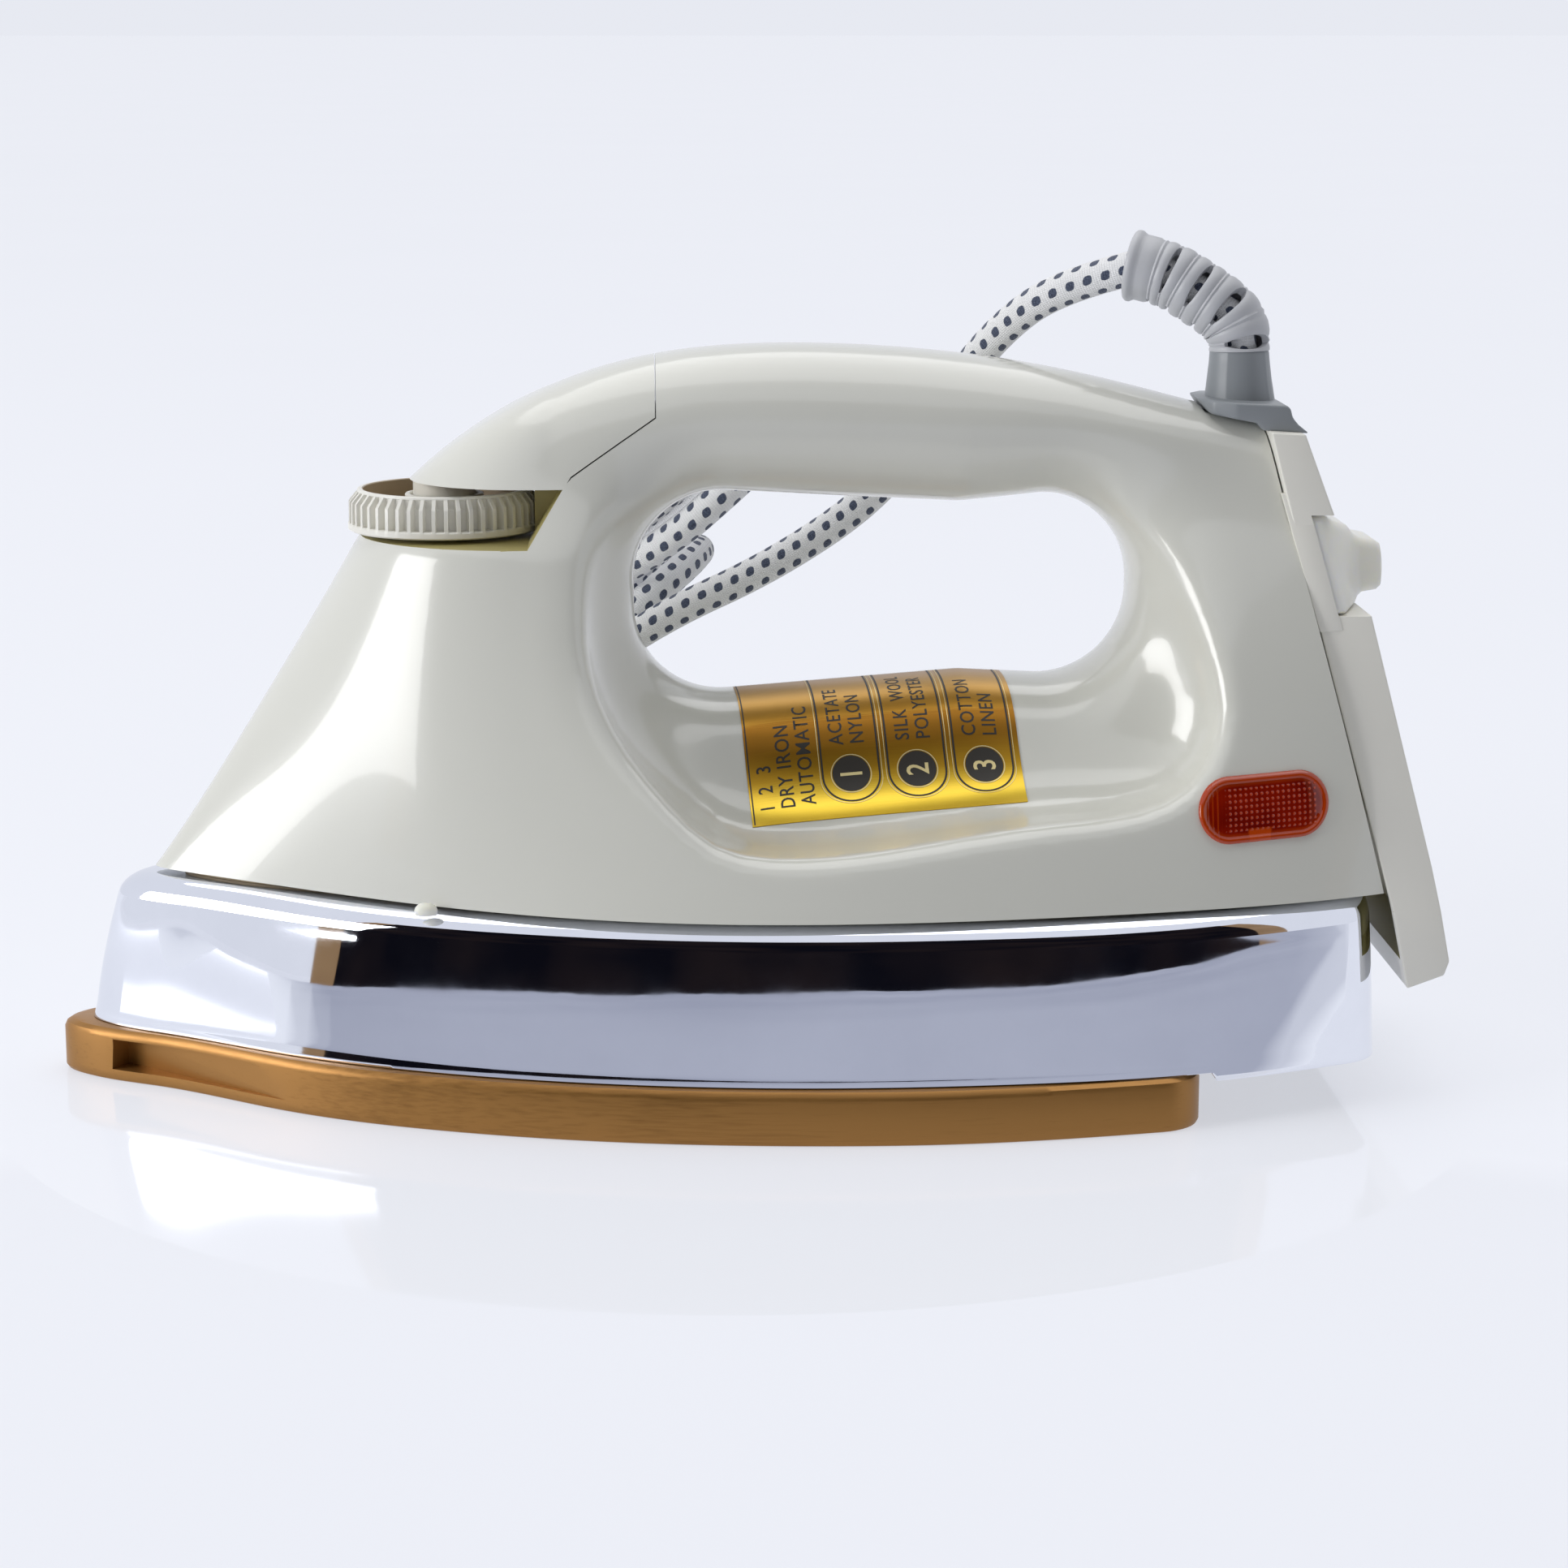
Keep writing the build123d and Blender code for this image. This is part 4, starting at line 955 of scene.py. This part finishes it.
def sleeve_mesh(centre):
    """The flexible sleeve: wide slots that open on its near side alternate with narrow ones opposite."""
    total = distances(centre)[-1]
    even = even_points(centre, 600)
    share = np.linspace(0, total, 600)
    slopes = np.gradient(even, axis=0)
    sides = SLEEVE_SIDES
    angles = round_angles(sides)
    rows, kinds = sleeve_rows(total, angles)
    edges = [k for k in range(1, len(kinds)) if (kinds[k] is None) != (kinds[k - 1] is None)]
    spots, runs = (np.stack([np.interp(rows, share, table[:, i]) for i in range(3)], -1)
                   for table in (even, slopes))
    runs /= np.linalg.norm(runs, axis=-1)[..., None]
    outer = np.cross(np.broadcast_to([0.0, 1.0, 0.0], runs.shape), runs)
    outer /= np.linalg.norm(outer, axis=-1)[..., None]
    near = np.cross(runs, outer)
    near *= -np.sign(near[..., 1:2])
    gap_away = np.min([np.abs(rows - rows[k]) for k in edges], axis=0)
    radius = 5.55 + 0.55 * np.clip(rows / 5, 0, 1) - 0.3 * np.clip(1 - gap_away / 0.8, 0, 1) ** 2
    lip = (total - rows) / 1.9
    radius = radius + np.where(lip < 1, 0.75 * np.sqrt(np.clip(1 - (2 * lip - 1) ** 2, 0, 1)) - 0.2, 0)
    way = np.cos(angles)[None, :, None] * outer + np.sin(angles)[None, :, None] * near
    skins = [spots + way * radius[..., None], spots + way * SLEEVE_INNER]
    kept = np.ones((len(kinds), sides), bool)
    for r, kind in enumerate(kinds):
        if kind is not None:
            reach = slot_share(kind, angles)
            kept[r] = (reach + np.roll(reach, -1)) / 2 > 1
    faces = []
    for k, cell in enumerate(band_faces(len(rows), sides)):
        r, i = divmod(k, sides)
        if not kept[r, i]:
            continue
        faces += [cell, [c + rows.size for c in cell[::-1]]]
        open_sides = [r == 0 or not kept[r - 1, i], not kept[r, (i + 1) % sides],
                      r == len(kinds) - 1 or not kept[r + 1, i], not kept[r, i - 1]]
        for p, q, is_open in zip(cell, cell[1:] + cell[:1], open_sides):
            if is_open:
                faces.append([q, p, p + rows.size, q + rows.size])
    obj = mesh_object("guard_sleeve", np.concatenate([skin.reshape(-1, 3) for skin in skins]), faces)
    edit_mesh(obj, lambda work: bmesh.ops.delete(work, geom=[v for v in work.verts if not v.link_faces],
                                                 context="VERTS"))
    return smooth_by_angle(face_outwards(obj), 40)


def pip_mesh(side):
    """A small moulded pip between the plated cover and the body."""
    angles = round_angles(28)
    rings = [level_ring(PIP_X, side * PIP_Y, z, angles, radius, stretch=1.5) for z, radius in PIP_LEVELS]
    return loft_rings(f"pip_{SIDE_NAMES[side]}", rings)


# ---- materials -------------------------------------------------------------------------------------
class Looks:
    """A new material; each method adds to its node tree."""

    def __init__(self, name):
        self.material = bpy.data.materials.new(name)
        self.material.use_nodes = True
        self.tree = self.material.node_tree

    def feed(self, made, inputs):
        """Links or sets a node's inputs."""
        for socket, value in inputs.items():
            if hasattr(value, "is_output"):
                self.tree.links.new(value, made.inputs[socket])
            else:
                made.inputs[socket].default_value = value
        return self.material

    def node(self, kind, inputs=None, output=0, **settings):
        """Adds a node and gives back one of its outputs."""
        made = self.tree.nodes.new("ShaderNode" + kind)
        for key, value in settings.items():
            setattr(made, key, value)
        self.feed(made, inputs or {})
        return made.outputs[output]

    def place(self):
        return self.node("TexCoord", output="Object")

    def noise(self, place, scale, detail=2.0, **more):
        return self.node("TexNoise", {"Vector": place, "Scale": scale, "Detail": detail, **more}, "Fac")

    def calc(self, operation, a, b=0.0):
        return self.node("Math", {0: a, 1: b}, "Value", operation=operation)

    def change(self, value, to_low, to_high, low=0.0, high=1.0):
        """A value taken from one range to another."""
        return self.node("MapRange", {"Value": value, "From Min": low, "From Max": high, "To Min": to_low,
                                      "To Max": to_high}, "Result")

    def mix(self, share, first, second):
        return self.node("Mix", {"Factor": share, "A": first, "B": second}, "Result", data_type="RGBA")

    def ramp(self, share, *stops):
        """A colour that changes with a value, from (position, colour) stops."""
        colour = self.node("ValToRGB", {"Fac": share}, "Color")
        elements = colour.node.color_ramp.elements
        while len(elements) < len(stops):
            elements.new(1.0)
        for element, (position, tone) in zip(elements, stops):
            element.position = position
            element.color = (*tone, 1)
        return colour

    def relief(self, height, strength, depth):
        """A bumped normal, its depth in millimetres."""
        return self.node("Bump", {"Height": height, "Strength": strength, "Distance": depth * MM}, "Normal")

    def shade(self, inputs):
        """Feeds the principled shader and gives back the material."""
        return self.feed(self.tree.nodes["Principled BSDF"], inputs)

    def show(self, shader):
        """Shows a shader in place of the principled one."""
        return self.feed(self.tree.nodes["Material Output"], {"Surface": shader})


def surface(name, colour, roughness, metallic=0.0, tone=0.04, tone_scale=40.0, grain_scale=900.0, bump=0.05,
            bump_mm=0.02, rough_spread=0.05, settings=()):
    """A moulded, cast or plated surface: slight drifts of tone and gloss, and a fine relief."""
    looks = Looks(name)
    place = looks.place()
    drift = looks.noise(place, tone_scale, 3.0)
    grain = looks.noise(place, grain_scale)
    dark = [c * (1 - tone) for c in colour]
    light = [min(1.0, c * (1 + tone)) for c in colour]
    return looks.shade({
        "Base Color": looks.ramp(drift, (0.3, dark), (0.7, light)),
        "Roughness": looks.change(grain, roughness - rough_spread, roughness + rough_spread),
        "Normal": looks.relief(grain, bump, bump_mm),
        "Metallic": metallic,
        **dict(settings),
    })


def braid_material():
    """White cotton braid with rows of dark blue flecks over its crossing threads."""
    looks = Looks("braid_cover")
    calc = looks.calc
    rows, pitch, strands, twist = 6.0, 3.5, 26.0, 0.95
    row_width = math.pi * LEAD_DIAMETER / rows
    lead_map = looks.node("UVMap", uv_map="along_round")
    along, turn = (looks.node("SeparateXYZ", {"Vector": lead_map}, axis) for axis in "XY")
    wobble = looks.noise(looks.place(), 700.0, 3.0)
    fine = looks.noise(looks.place(), 3500.0)
    row = calc("MULTIPLY", turn, rows)
    odd = calc("MODULO", calc("FLOOR", row), 2.0)
    across = calc("MULTIPLY", calc("SUBTRACT", calc("FRACT", row), 0.5), row_width)
    shifted = calc("ADD", calc("DIVIDE", along, pitch), calc("MULTIPLY", odd, 0.5))
    lengthwise = calc("MULTIPLY", calc("SUBTRACT", calc("FRACT", shifted), 0.5), pitch)
    slanted = calc("ADD", lengthwise, calc("MULTIPLY", across, 0.22))
    far = calc("ADD", *(calc("POWER", calc("ABSOLUTE", calc("DIVIDE", way, half)), 2.6)
                        for way, half in ((slanted, 0.95), (across, 0.92))))
    fuzz = calc("MULTIPLY", calc("SUBTRACT", wobble, 0.5), 1.1)
    fleck = looks.ramp(calc("ADD", far, fuzz), (0.7, (1, 1, 1)), (1.0, (0, 0, 0)))
    round_way, long_way = calc("MULTIPLY", turn, strands), calc("DIVIDE", along, twist)
    both_ways = [calc(operation, round_way, long_way) for operation in ("ADD", "SUBTRACT")]
    weave = calc("MULTIPLY", *(calc("SINE", calc("MULTIPLY", way, 2 * math.pi)) for way in both_ways))
    # Painted light and shade: the cotton's colour is lighter on the crowns of the weave and darker between
    # the threads.
    lit_weave = calc("ADD", calc("MULTIPLY", weave, 0.25), 0.5)
    cotton = looks.ramp(lit_weave, (0.2, (0.85, 0.86, 0.89)), (0.75, (0.97, 0.97, 0.98)))
    thread = looks.ramp(fine, (0.3, (0.035, 0.045, 0.085)), (0.8, (0.11, 0.14, 0.22)))
    height = calc("ADD", weave, calc("MULTIPLY", fine, 1.2))
    return looks.shade({"Base Color": looks.mix(fleck, cotton, thread), "Roughness": 0.82,
                        "Normal": looks.relief(height, 0.5, 0.12), "Sheen Weight": 0.25})


def sole_material():
    """Gold-tan satin coating with the faint lengthwise marks of its polishing."""
    looks = Looks("sole_coating")
    place = looks.place()
    streaks = looks.noise(looks.node("Mapping", {"Vector": place, "Scale": (0.06, 1.0, 2.2)}), 900.0, 3.0)
    both = looks.calc("ADD", streaks, looks.noise(place, 22.0))
    return looks.shade({
        "Base Color": looks.ramp(both, (0.6, (0.25, 0.118, 0.026)), (1.0, (0.35, 0.17, 0.042))),
        "Roughness": looks.change(streaks, 0.3, 0.46),
        "Normal": looks.relief(streaks, 0.15, 0.02),
        "Metallic": 0.6,
    })


def chrome_material():
    """Mirror plating over pressed steel that waves slightly, with faint smears."""
    looks = Looks("mirror_plating")
    place = looks.place()
    smear = looks.noise(place, 55.0, 5.0, Roughness=0.6)
    long_way = looks.node("Mapping", {"Vector": place, "Scale": (1.0, 1.0, 0.55)})
    ripple = looks.calc("MULTIPLY", looks.noise(long_way, 260.0, 1.0), 0.05)
    height = looks.calc("ADD", looks.noise(long_way, 42.0, 1.0), ripple)
    return looks.shade({
        "Base Color": looks.ramp(smear, (0.3, (0.79, 0.81, 0.87)), (0.7, (0.83, 0.85, 0.91))),
        "Roughness": looks.change(smear, 0.015, 0.06, low=0.35, high=0.75),
        "Normal": looks.relief(height, 0.5, 0.16),
        "Metallic": 1.0,
    })


def foil_material():
    """Brushed gold foil, with painted reflection in bands down its wrap: dark in the middle, bright near the
    foot.
    """
    looks = Looks("brushed_gold_foil")
    foil_map = looks.node("UVMap", uv_map="across_down")
    brushed = looks.noise(looks.node("Mapping", {"Vector": foil_map, "Scale": (3.0, 420.0, 1.0)}), 1.0)
    down = looks.node("SeparateXYZ", {"Vector": foil_map}, "Y")
    # Painted reflection: brown at the top, darkest in the middle and bright near the foot of the wrap.
    tones = looks.ramp(
        looks.calc("ADD", down, looks.change(brushed, -0.05, 0.05)),
        (0.0, (0.36, 0.21, 0.09)), (0.2, (0.42, 0.24, 0.05)), (0.44, (0.40, 0.20, 0.02)),
        (0.47, (0.25, 0.105, 0.004)), (0.58, (0.25, 0.11, 0.004)), (0.74, (0.40, 0.22, 0.01)),
        (0.9, (0.78, 0.55, 0.05)), (1.0, (0.70, 0.46, 0.03)),
    )
    return looks.shade({"Base Color": tones, "Roughness": looks.change(brushed, 0.26, 0.42),
                        "Normal": looks.relief(brushed, 0.2, 0.02), "Metallic": 0.75})


def lens_material():
    """Clear red moulding: a grid of light dots inside, a ridged end, a short tab and an orange rim."""
    looks = Looks("red_lens_moulding")
    calc = looks.calc
    x, z = (looks.node("SeparateXYZ", {"Vector": looks.place()}, axis) for axis in "XZ")
    across = calc("DIVIDE", calc("SUBTRACT", x, LAMP_AT[0] * MM), MM)
    level = calc("DIVIDE", calc("SUBTRACT", z, LAMP_AT[1] * MM), MM)
    up = calc("SUBTRACT", level, calc("MULTIPLY", across, math.tan(LAMP_TILT)))

    def under(value, low, high):
        """One where a value is under a limit, nothing over it."""
        return looks.change(value, 1.0, 0.0, low, high)

    def length(a, b):
        return calc("SQRT", calc("ADD", calc("MULTIPLY", a, a), calc("MULTIPLY", b, b)))

    cells = [calc("SUBTRACT", calc("FRACT", calc("ADD", way, 40.0)), 0.5) for way in (across, up)]
    in_grid = calc("MULTIPLY", under(calc("ABSOLUTE", calc("SUBTRACT", across, 1.2)), 8.4, 8.6),
                   under(calc("ABSOLUTE", up), 3.5, 3.7))
    dots = calc("MULTIPLY", under(length(*cells), 0.14, 0.3), in_grid)
    ribs = looks.change(calc("SINE", calc("MULTIPLY", across, 6.28 / 0.9)), 0.0, 1.0, 0.2, 1.0)
    end_ribs = calc("MULTIPLY", calc("MULTIPLY", ribs, under(across, -8.6, -7.9)), 0.5)
    past_end = calc("SUBTRACT", calc("ABSOLUTE", across), LAMP_HALF[0] - LAMP_HALF[1])
    past_straight = calc("MAXIMUM", past_end, 0.0)
    rim = looks.change(length(past_straight, up), 0.0, 1.0, LAMP_HALF[1] - 1.9, LAMP_HALF[1] - 0.9)
    tab = calc("MULTIPLY", under(calc("ABSOLUTE", calc("SUBTRACT", across, -1.0)), 1.9, 2.4),
               under(up, -3.7, -3.2))
    cloud = looks.noise(looks.place(), 160.0)
    deep = looks.ramp(cloud, (0.35, (0.16, 0.003, 0.0)), (0.7, (0.26, 0.008, 0.0)))
    dotted = looks.mix(calc("MULTIPLY", dots, 0.75), deep, (0.60, 0.075, 0.022, 1))
    edges = calc("MAXIMUM", calc("MULTIPLY", rim, 0.75), calc("MAXIMUM", tab, end_ribs))
    colour = looks.mix(edges, dotted, (0.50, 0.055, 0.003, 1))
    facing = looks.node("LayerWeight", {"Blend": 0.25}, "Facing")
    # The faint emission of the lens colour is a painted glow.
    return looks.shade({
        "Base Color": colour, "Emission Color": colour, "Emission Strength": 0.04,
        "Roughness": looks.change(facing, 0.06, 0.12),
        "Normal": looks.relief(calc("ADD", dots, end_ribs), 0.4, 0.15),
        "Coat Weight": 0.15, "Coat Roughness": 0.03,
    })


def plain(colour, roughness, metallic=0.0):
    """Settings of a plain surface of an inner part."""
    return {"colour": colour, "roughness": roughness, "metallic": metallic, "tone": 0.12, "tone_scale": 70.0,
            "grain_scale": 600.0, "bump": 0.2, "bump_mm": 0.06}


MAKERS = {"soleplate_coating": sole_material, "plated_steel": chrome_material, "gold_foil": foil_material,
          "red_lens": lens_material, "braid": braid_material}
SURFACES = {
    "ivory_gloss": {"colour": (0.735, 0.735, 0.675), "roughness": 0.2, "tone": 0.012, "tone_scale": 18.0,
                    "grain_scale": 260.0, "bump": 0.03, "bump_mm": 0.04, "rough_spread": 0.025,
                    "settings": {"Coat Weight": 0.45, "Coat Roughness": 0.04, "IOR": 1.5}},
    "ivory_matt": {"colour": (0.84, 0.825, 0.76), "roughness": 0.36, "tone": 0.02, "grain_scale": 700.0,
                   "bump": 0.1, "bump_mm": 0.03},
    "nylon": {"colour": (0.90, 0.89, 0.82), "roughness": 0.34, "tone": 0.03, "tone_scale": 90.0,
              "settings": {"Subsurface Weight": 0.6, "Subsurface Radius": (0.004, 0.0036, 0.002),
                           "Subsurface Scale": 0.8}},
    "grey_pvc": {"colour": (0.54, 0.55, 0.58), "roughness": 0.42, "tone": 0.05, "grain_scale": 1500.0,
                 "bump": 0.15},
    "lamp_glass": {"colour": (0.95, 0.8, 0.7), "roughness": 0.06, "settings": {"Transmission Weight": 0.9}},
    "cast_iron": plain((0.05, 0.048, 0.045), 0.7, 0.6),
    "steel": plain((0.42, 0.42, 0.43), 0.35, 1.0),
    "brass": plain((0.62, 0.44, 0.16), 0.33, 1.0),
    "phenolic": plain((0.032, 0.024, 0.018), 0.45),
    "ceramic": plain((0.80, 0.76, 0.68), 0.6),
    "mica": plain((0.40, 0.31, 0.20), 0.8),
    "plug_plastic": plain((0.24, 0.245, 0.26), 0.45),
}
MATERIALS = {}


def pick(slot):
    """The procedural material of a record slot, made once."""
    if slot not in MATERIALS:
        MATERIALS[slot] = MAKERS[slot]() if slot in MAKERS else surface(slot, **SURFACES[slot])
    return MATERIALS[slot]


def dress(obj, material):
    """Gives an object one material."""
    obj.data.materials.clear()
    obj.data.materials.append(material)
    return obj


def dress_faces(obj, material, chosen):
    """Gives a second material to the faces that a test chooses by their middle, in millimetres."""
    obj.data.materials.append(material)
    for polygon in obj.data.polygons:
        if chosen(polygon, polygon.center / MM):
            polygon.material_index = 1


def piece(obj, body, slot, *replaced, material=None):
    """Dresses a piece in its material, parents it to the body that it rides on and hides the CAD nodes that
    it stands for.
    """
    dress(obj, material or pick(slot))
    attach(obj, body)
    if replaced:
        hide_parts(*replaced)
    return obj


# ---- making the pieces -----------------------------------------------------------------------------
nodes = frame["nodes"]
for part in frame["record"]["subparts"]:
    dress(nodes[part["node"]], pick(part["material_slot"]))

tie = piece(lead_tie(), "base", "plug_plastic", "lead_tie")
piece(lead, "base", "braid", "lead_to_hank", "lead_hank", "lead_to_plug")

piece(soleplate_mesh(), "base", "soleplate_coating", "soleplate")
piece(chrome_mesh(), "base", "plated_steel", "chrome_cover")


def in_dial_notch(polygon, spot):
    """The notch's floor, its end walls and the round room behind the dial."""
    if spot.x > -31.5 or abs(spot.y) > 30 or not NOTCH_FLOOR - 0.05 < spot.z < NOSE_BASE + 0.2:
        return False
    on_floor, end_wall = abs(spot.z - NOTCH_FLOOR) < 0.05, abs(polygon.normal.y) < 0.05
    return on_floor or end_wall or abs(spot.y) < 8.1 or math.hypot(spot.x - DIAL_X, spot.y) < 18.7


shade_ivory = surface("ivory_in_shade", (0.46, 0.40, 0.16), 0.35, tone=0.05)
body, nose = body_pieces()
piece(body, "base", "ivory_gloss", "body_shell")
piece(nose, "base", "ivory_gloss", "nose_cover")
dress_faces(body, shade_ivory, in_dial_notch)

label = label_grid()
piece(label_sheet(*label[:2]), "base", "gold_foil", "label_plate")
# The dark ink also colours the painted shadow line at the foil's left edge.
dark_print_and_shadow_line = surface("dark_print_and_shadow_line", (0.018, 0.014, 0.008), 0.5)
print_pale = surface("print_pale", (0.74, 0.62, 0.30), 0.35, 0.5)
for marks, ink in zip(label_print_and_shadow_line(*label), (dark_print_and_shadow_line, print_pale)):
    piece(marks, "base", "gold_foil", material=ink)


def in_dial_recess(polygon, spot):
    return 7.3 < math.hypot(spot.x - DIAL_X, spot.y) < 15.2 and spot.z > DIAL_BASE + 4


piece(lens_mesh(), "base", "red_lens", "lamp_lens")
dial = piece(dial_mesh(), "dial", "ivory_matt", "dial")
dress_faces(dial, surface("tan_recess", (0.40, 0.31, 0.20), 0.3, tone=0.08), in_dial_recess)
rear = piece(rear_cover_mesh(), "base", "ivory_matt", "rear_cover")


def in_rear_hollow(polygon, spot):
    """The hollow's walls and its floor, deeper than the cover's front edge."""
    corners = [rear.data.vertices[i].co / MM for i in polygon.vertices]
    depth = min(corner.x - 0.2425 * (120.6 - corner.z) for corner in corners) - 95.9
    faces_in = polygon.normal.x < -0.5 or polygon.normal.y * spot.y < -0.3 * abs(spot.y)
    on_floor = polygon.normal.z > 0.5 and polygon.normal.x < -0.2 and spot.z < 34
    return on_floor or (faces_in and depth > 0.4 and spot.z < 95)


dress_faces(rear, shade_ivory, in_rear_hollow)
for side in SIDE_NAMES:
    piece(panel_mesh(side), "base", "ivory_matt")
    piece(pip_mesh(side), "base", "nylon", "locating_pips")
piece(hook_mesh(), "base", "nylon", "cord_hook")
collar_grey = surface("collar_grey", (0.27, 0.29, 0.31), 0.38, tone=0.05, grain_scale=1500.0, bump=0.12)
piece(flange_mesh(), "base", "grey_pvc", "cord_guard", material=collar_grey)
piece(collar_mesh(), "base", "grey_pvc", material=collar_grey)
sleeve_line = nurbs_line("sleeve_centre", SLEEVE_ROUTE)
piece(sleeve_mesh(sleeve_line), "base", "grey_pvc")
inner_line = even_points(sleeve_line, 60)[:-4]
piece(tube_mesh("lead_in_guard", inner_line, LEAD_DIAMETER / 2, LEAD_SIDES), "base", "braid")


# ---- floor, cards and light ------------------------------------------------------------------------
FLOOR_HALF = 60000
CARD_STEPS = 40


def floor_material():
    """Pale glossy table top, dimmer for the light that it throws back."""
    looks = Looks("pale_floor")
    drift = looks.noise(looks.place(), 3.0)
    tone = looks.ramp(drift, (0.3, (0.30, 0.305, 0.32)), (0.7, (0.305, 0.31, 0.325)))
    sheen = looks.node("BsdfGlossy", {"Roughness": 0.07, "Color": (0.9, 0.9, 0.95, 1)})
    bounce = looks.node("LightPath", output="Is Diffuse Ray")
    strength = looks.node("Math", {0: bounce, 1: -0.32, 2: 0.74}, operation="MULTIPLY_ADD")
    glow = looks.node("Emission", {"Color": (0.84, 0.86, 0.925, 1), "Strength": strength})
    base = looks.node("AddShader", {0: looks.node("BsdfDiffuse", {"Color": tone}), 1: glow})
    return looks.show(looks.node("MixShader", {0: 0.09, 1: base, 2: sheen}))


def card(name, turn, near, far, tones, drift_scale=2.2, pale_ends=False):
    """A curved card round the table between two (radius, height) rims, seen only in reflections."""
    angles = np.radians(np.linspace(*turn, CARD_STEPS))
    points = [(radius * math.sin(a), -radius * math.cos(a), z) for radius, z in (near, far) for a in angles]
    obj = mesh_object(name, points, band_faces(2, CARD_STEPS, closed=False))
    spread = obj.data.uv_layers.new(name="spread")
    for loop in obj.data.loops:
        row, step = divmod(loop.vertex_index, CARD_STEPS)
        spread.data[loop.index].uv = (step / (CARD_STEPS - 1), row)
    looks = Looks(name)
    colour = looks.ramp(looks.noise(looks.place(), drift_scale), (0.35, tones[0]), (0.65, tones[1]))
    if pale_ends:
        along = looks.node("SeparateXYZ", {"Vector": looks.node("UVMap", uv_map="spread")}, "X")
        ends = looks.ramp(along, (0.0, (1, 1, 1)), (0.06, (0, 0, 0)), (0.95, (0, 0, 0)), (1.0, (1, 1, 1)))
        colour = looks.mix(ends, colour, (0.92, 0.94, 1.0, 1))
    dress(obj, looks.show(looks.node("Emission", {"Color": colour, "Strength": 1.0})))
    obj.visible_camera = obj.visible_diffuse = obj.visible_shadow = obj.visible_transmission = False


def lamp(name, kind, power):
    """A light of a power, at the origin until it is placed."""
    data = bpy.data.lights.new(name, kind)
    data.energy = power
    obj = bpy.data.objects.new(name, data)
    SCENE.collection.objects.link(obj)
    return obj


floor_corners = [(x * FLOOR_HALF, y * FLOOR_HALF, 0) for x, y in ((-1, -1), (1, -1), (1, 1), (-1, 1))]
floor = mesh_object("floor", floor_corners, [[0, 1, 2, 3]], smooth=False)
dress(floor, floor_material())
card("table_card", (-70, 64), (140, 0.4), (2500, 0.4), ((0.38, 0.40, 0.49), (0.46, 0.48, 0.57)),
     drift_scale=1.4, pale_ends=True)
card("dark_card", (-60, 51), (2400, 0), (2400, 1900), ((0.004, 0.004, 0.007), (0.014, 0.010, 0.011)))
card("tan_card_left", (-63.5, -59.5), (2350, 0), (2350, 1800), ((0.30, 0.19, 0.10), (0.22, 0.13, 0.07)))
card("tan_card_right", (50.5, 55), (2350, 0), (2350, 1800), ((0.34, 0.22, 0.13), (0.25, 0.16, 0.09)))

soft_top = lamp("soft_top", "SUN", 1.6)
soft_top.data.angle = math.radians(70)
soft_top.rotation_euler = (math.radians(-14), math.radians(6), 0)
nose_box = lamp("nose_box", "AREA", 22.0)
nose_box.data.shape = "RECTANGLE"
nose_box.data.size, nose_box.data.size_y = 1.1, 0.9
nose_box.location = (-1.9, -0.62, 0.62)
nose_box.rotation_euler = (Vector((-0.09, 0, 0.06)) - nose_box.location).to_track_quat("-Z", "Y").to_euler()

world = bpy.data.worlds.new("studio")
SCENE.world = world
world.use_nodes = True
sky = world.node_tree
backgrounds = [sky.nodes["Background"], sky.nodes.new("ShaderNodeBackground")]
choose = sky.nodes.new("ShaderNodeMixShader")
diffuse_ray = sky.nodes.new("ShaderNodeLightPath").outputs["Is Diffuse Ray"]
sky.links.new(diffuse_ray, choose.inputs[0])
sky_looks = (((0.80, 0.82, 0.885, 1), 1.0), ((0.96, 0.97, 1.0, 1), 0.24))
for k, (background, (colour, strength)) in enumerate(zip(backgrounds, sky_looks)):
    background.inputs["Color"].default_value = colour
    background.inputs["Strength"].default_value = strength
    sky.links.new(background.outputs["Background"], choose.inputs[k + 1])
sky.links.new(choose.outputs["Shader"], sky.nodes["World Output"].inputs["Surface"])
SCENE.view_settings.view_transform = "Standard"
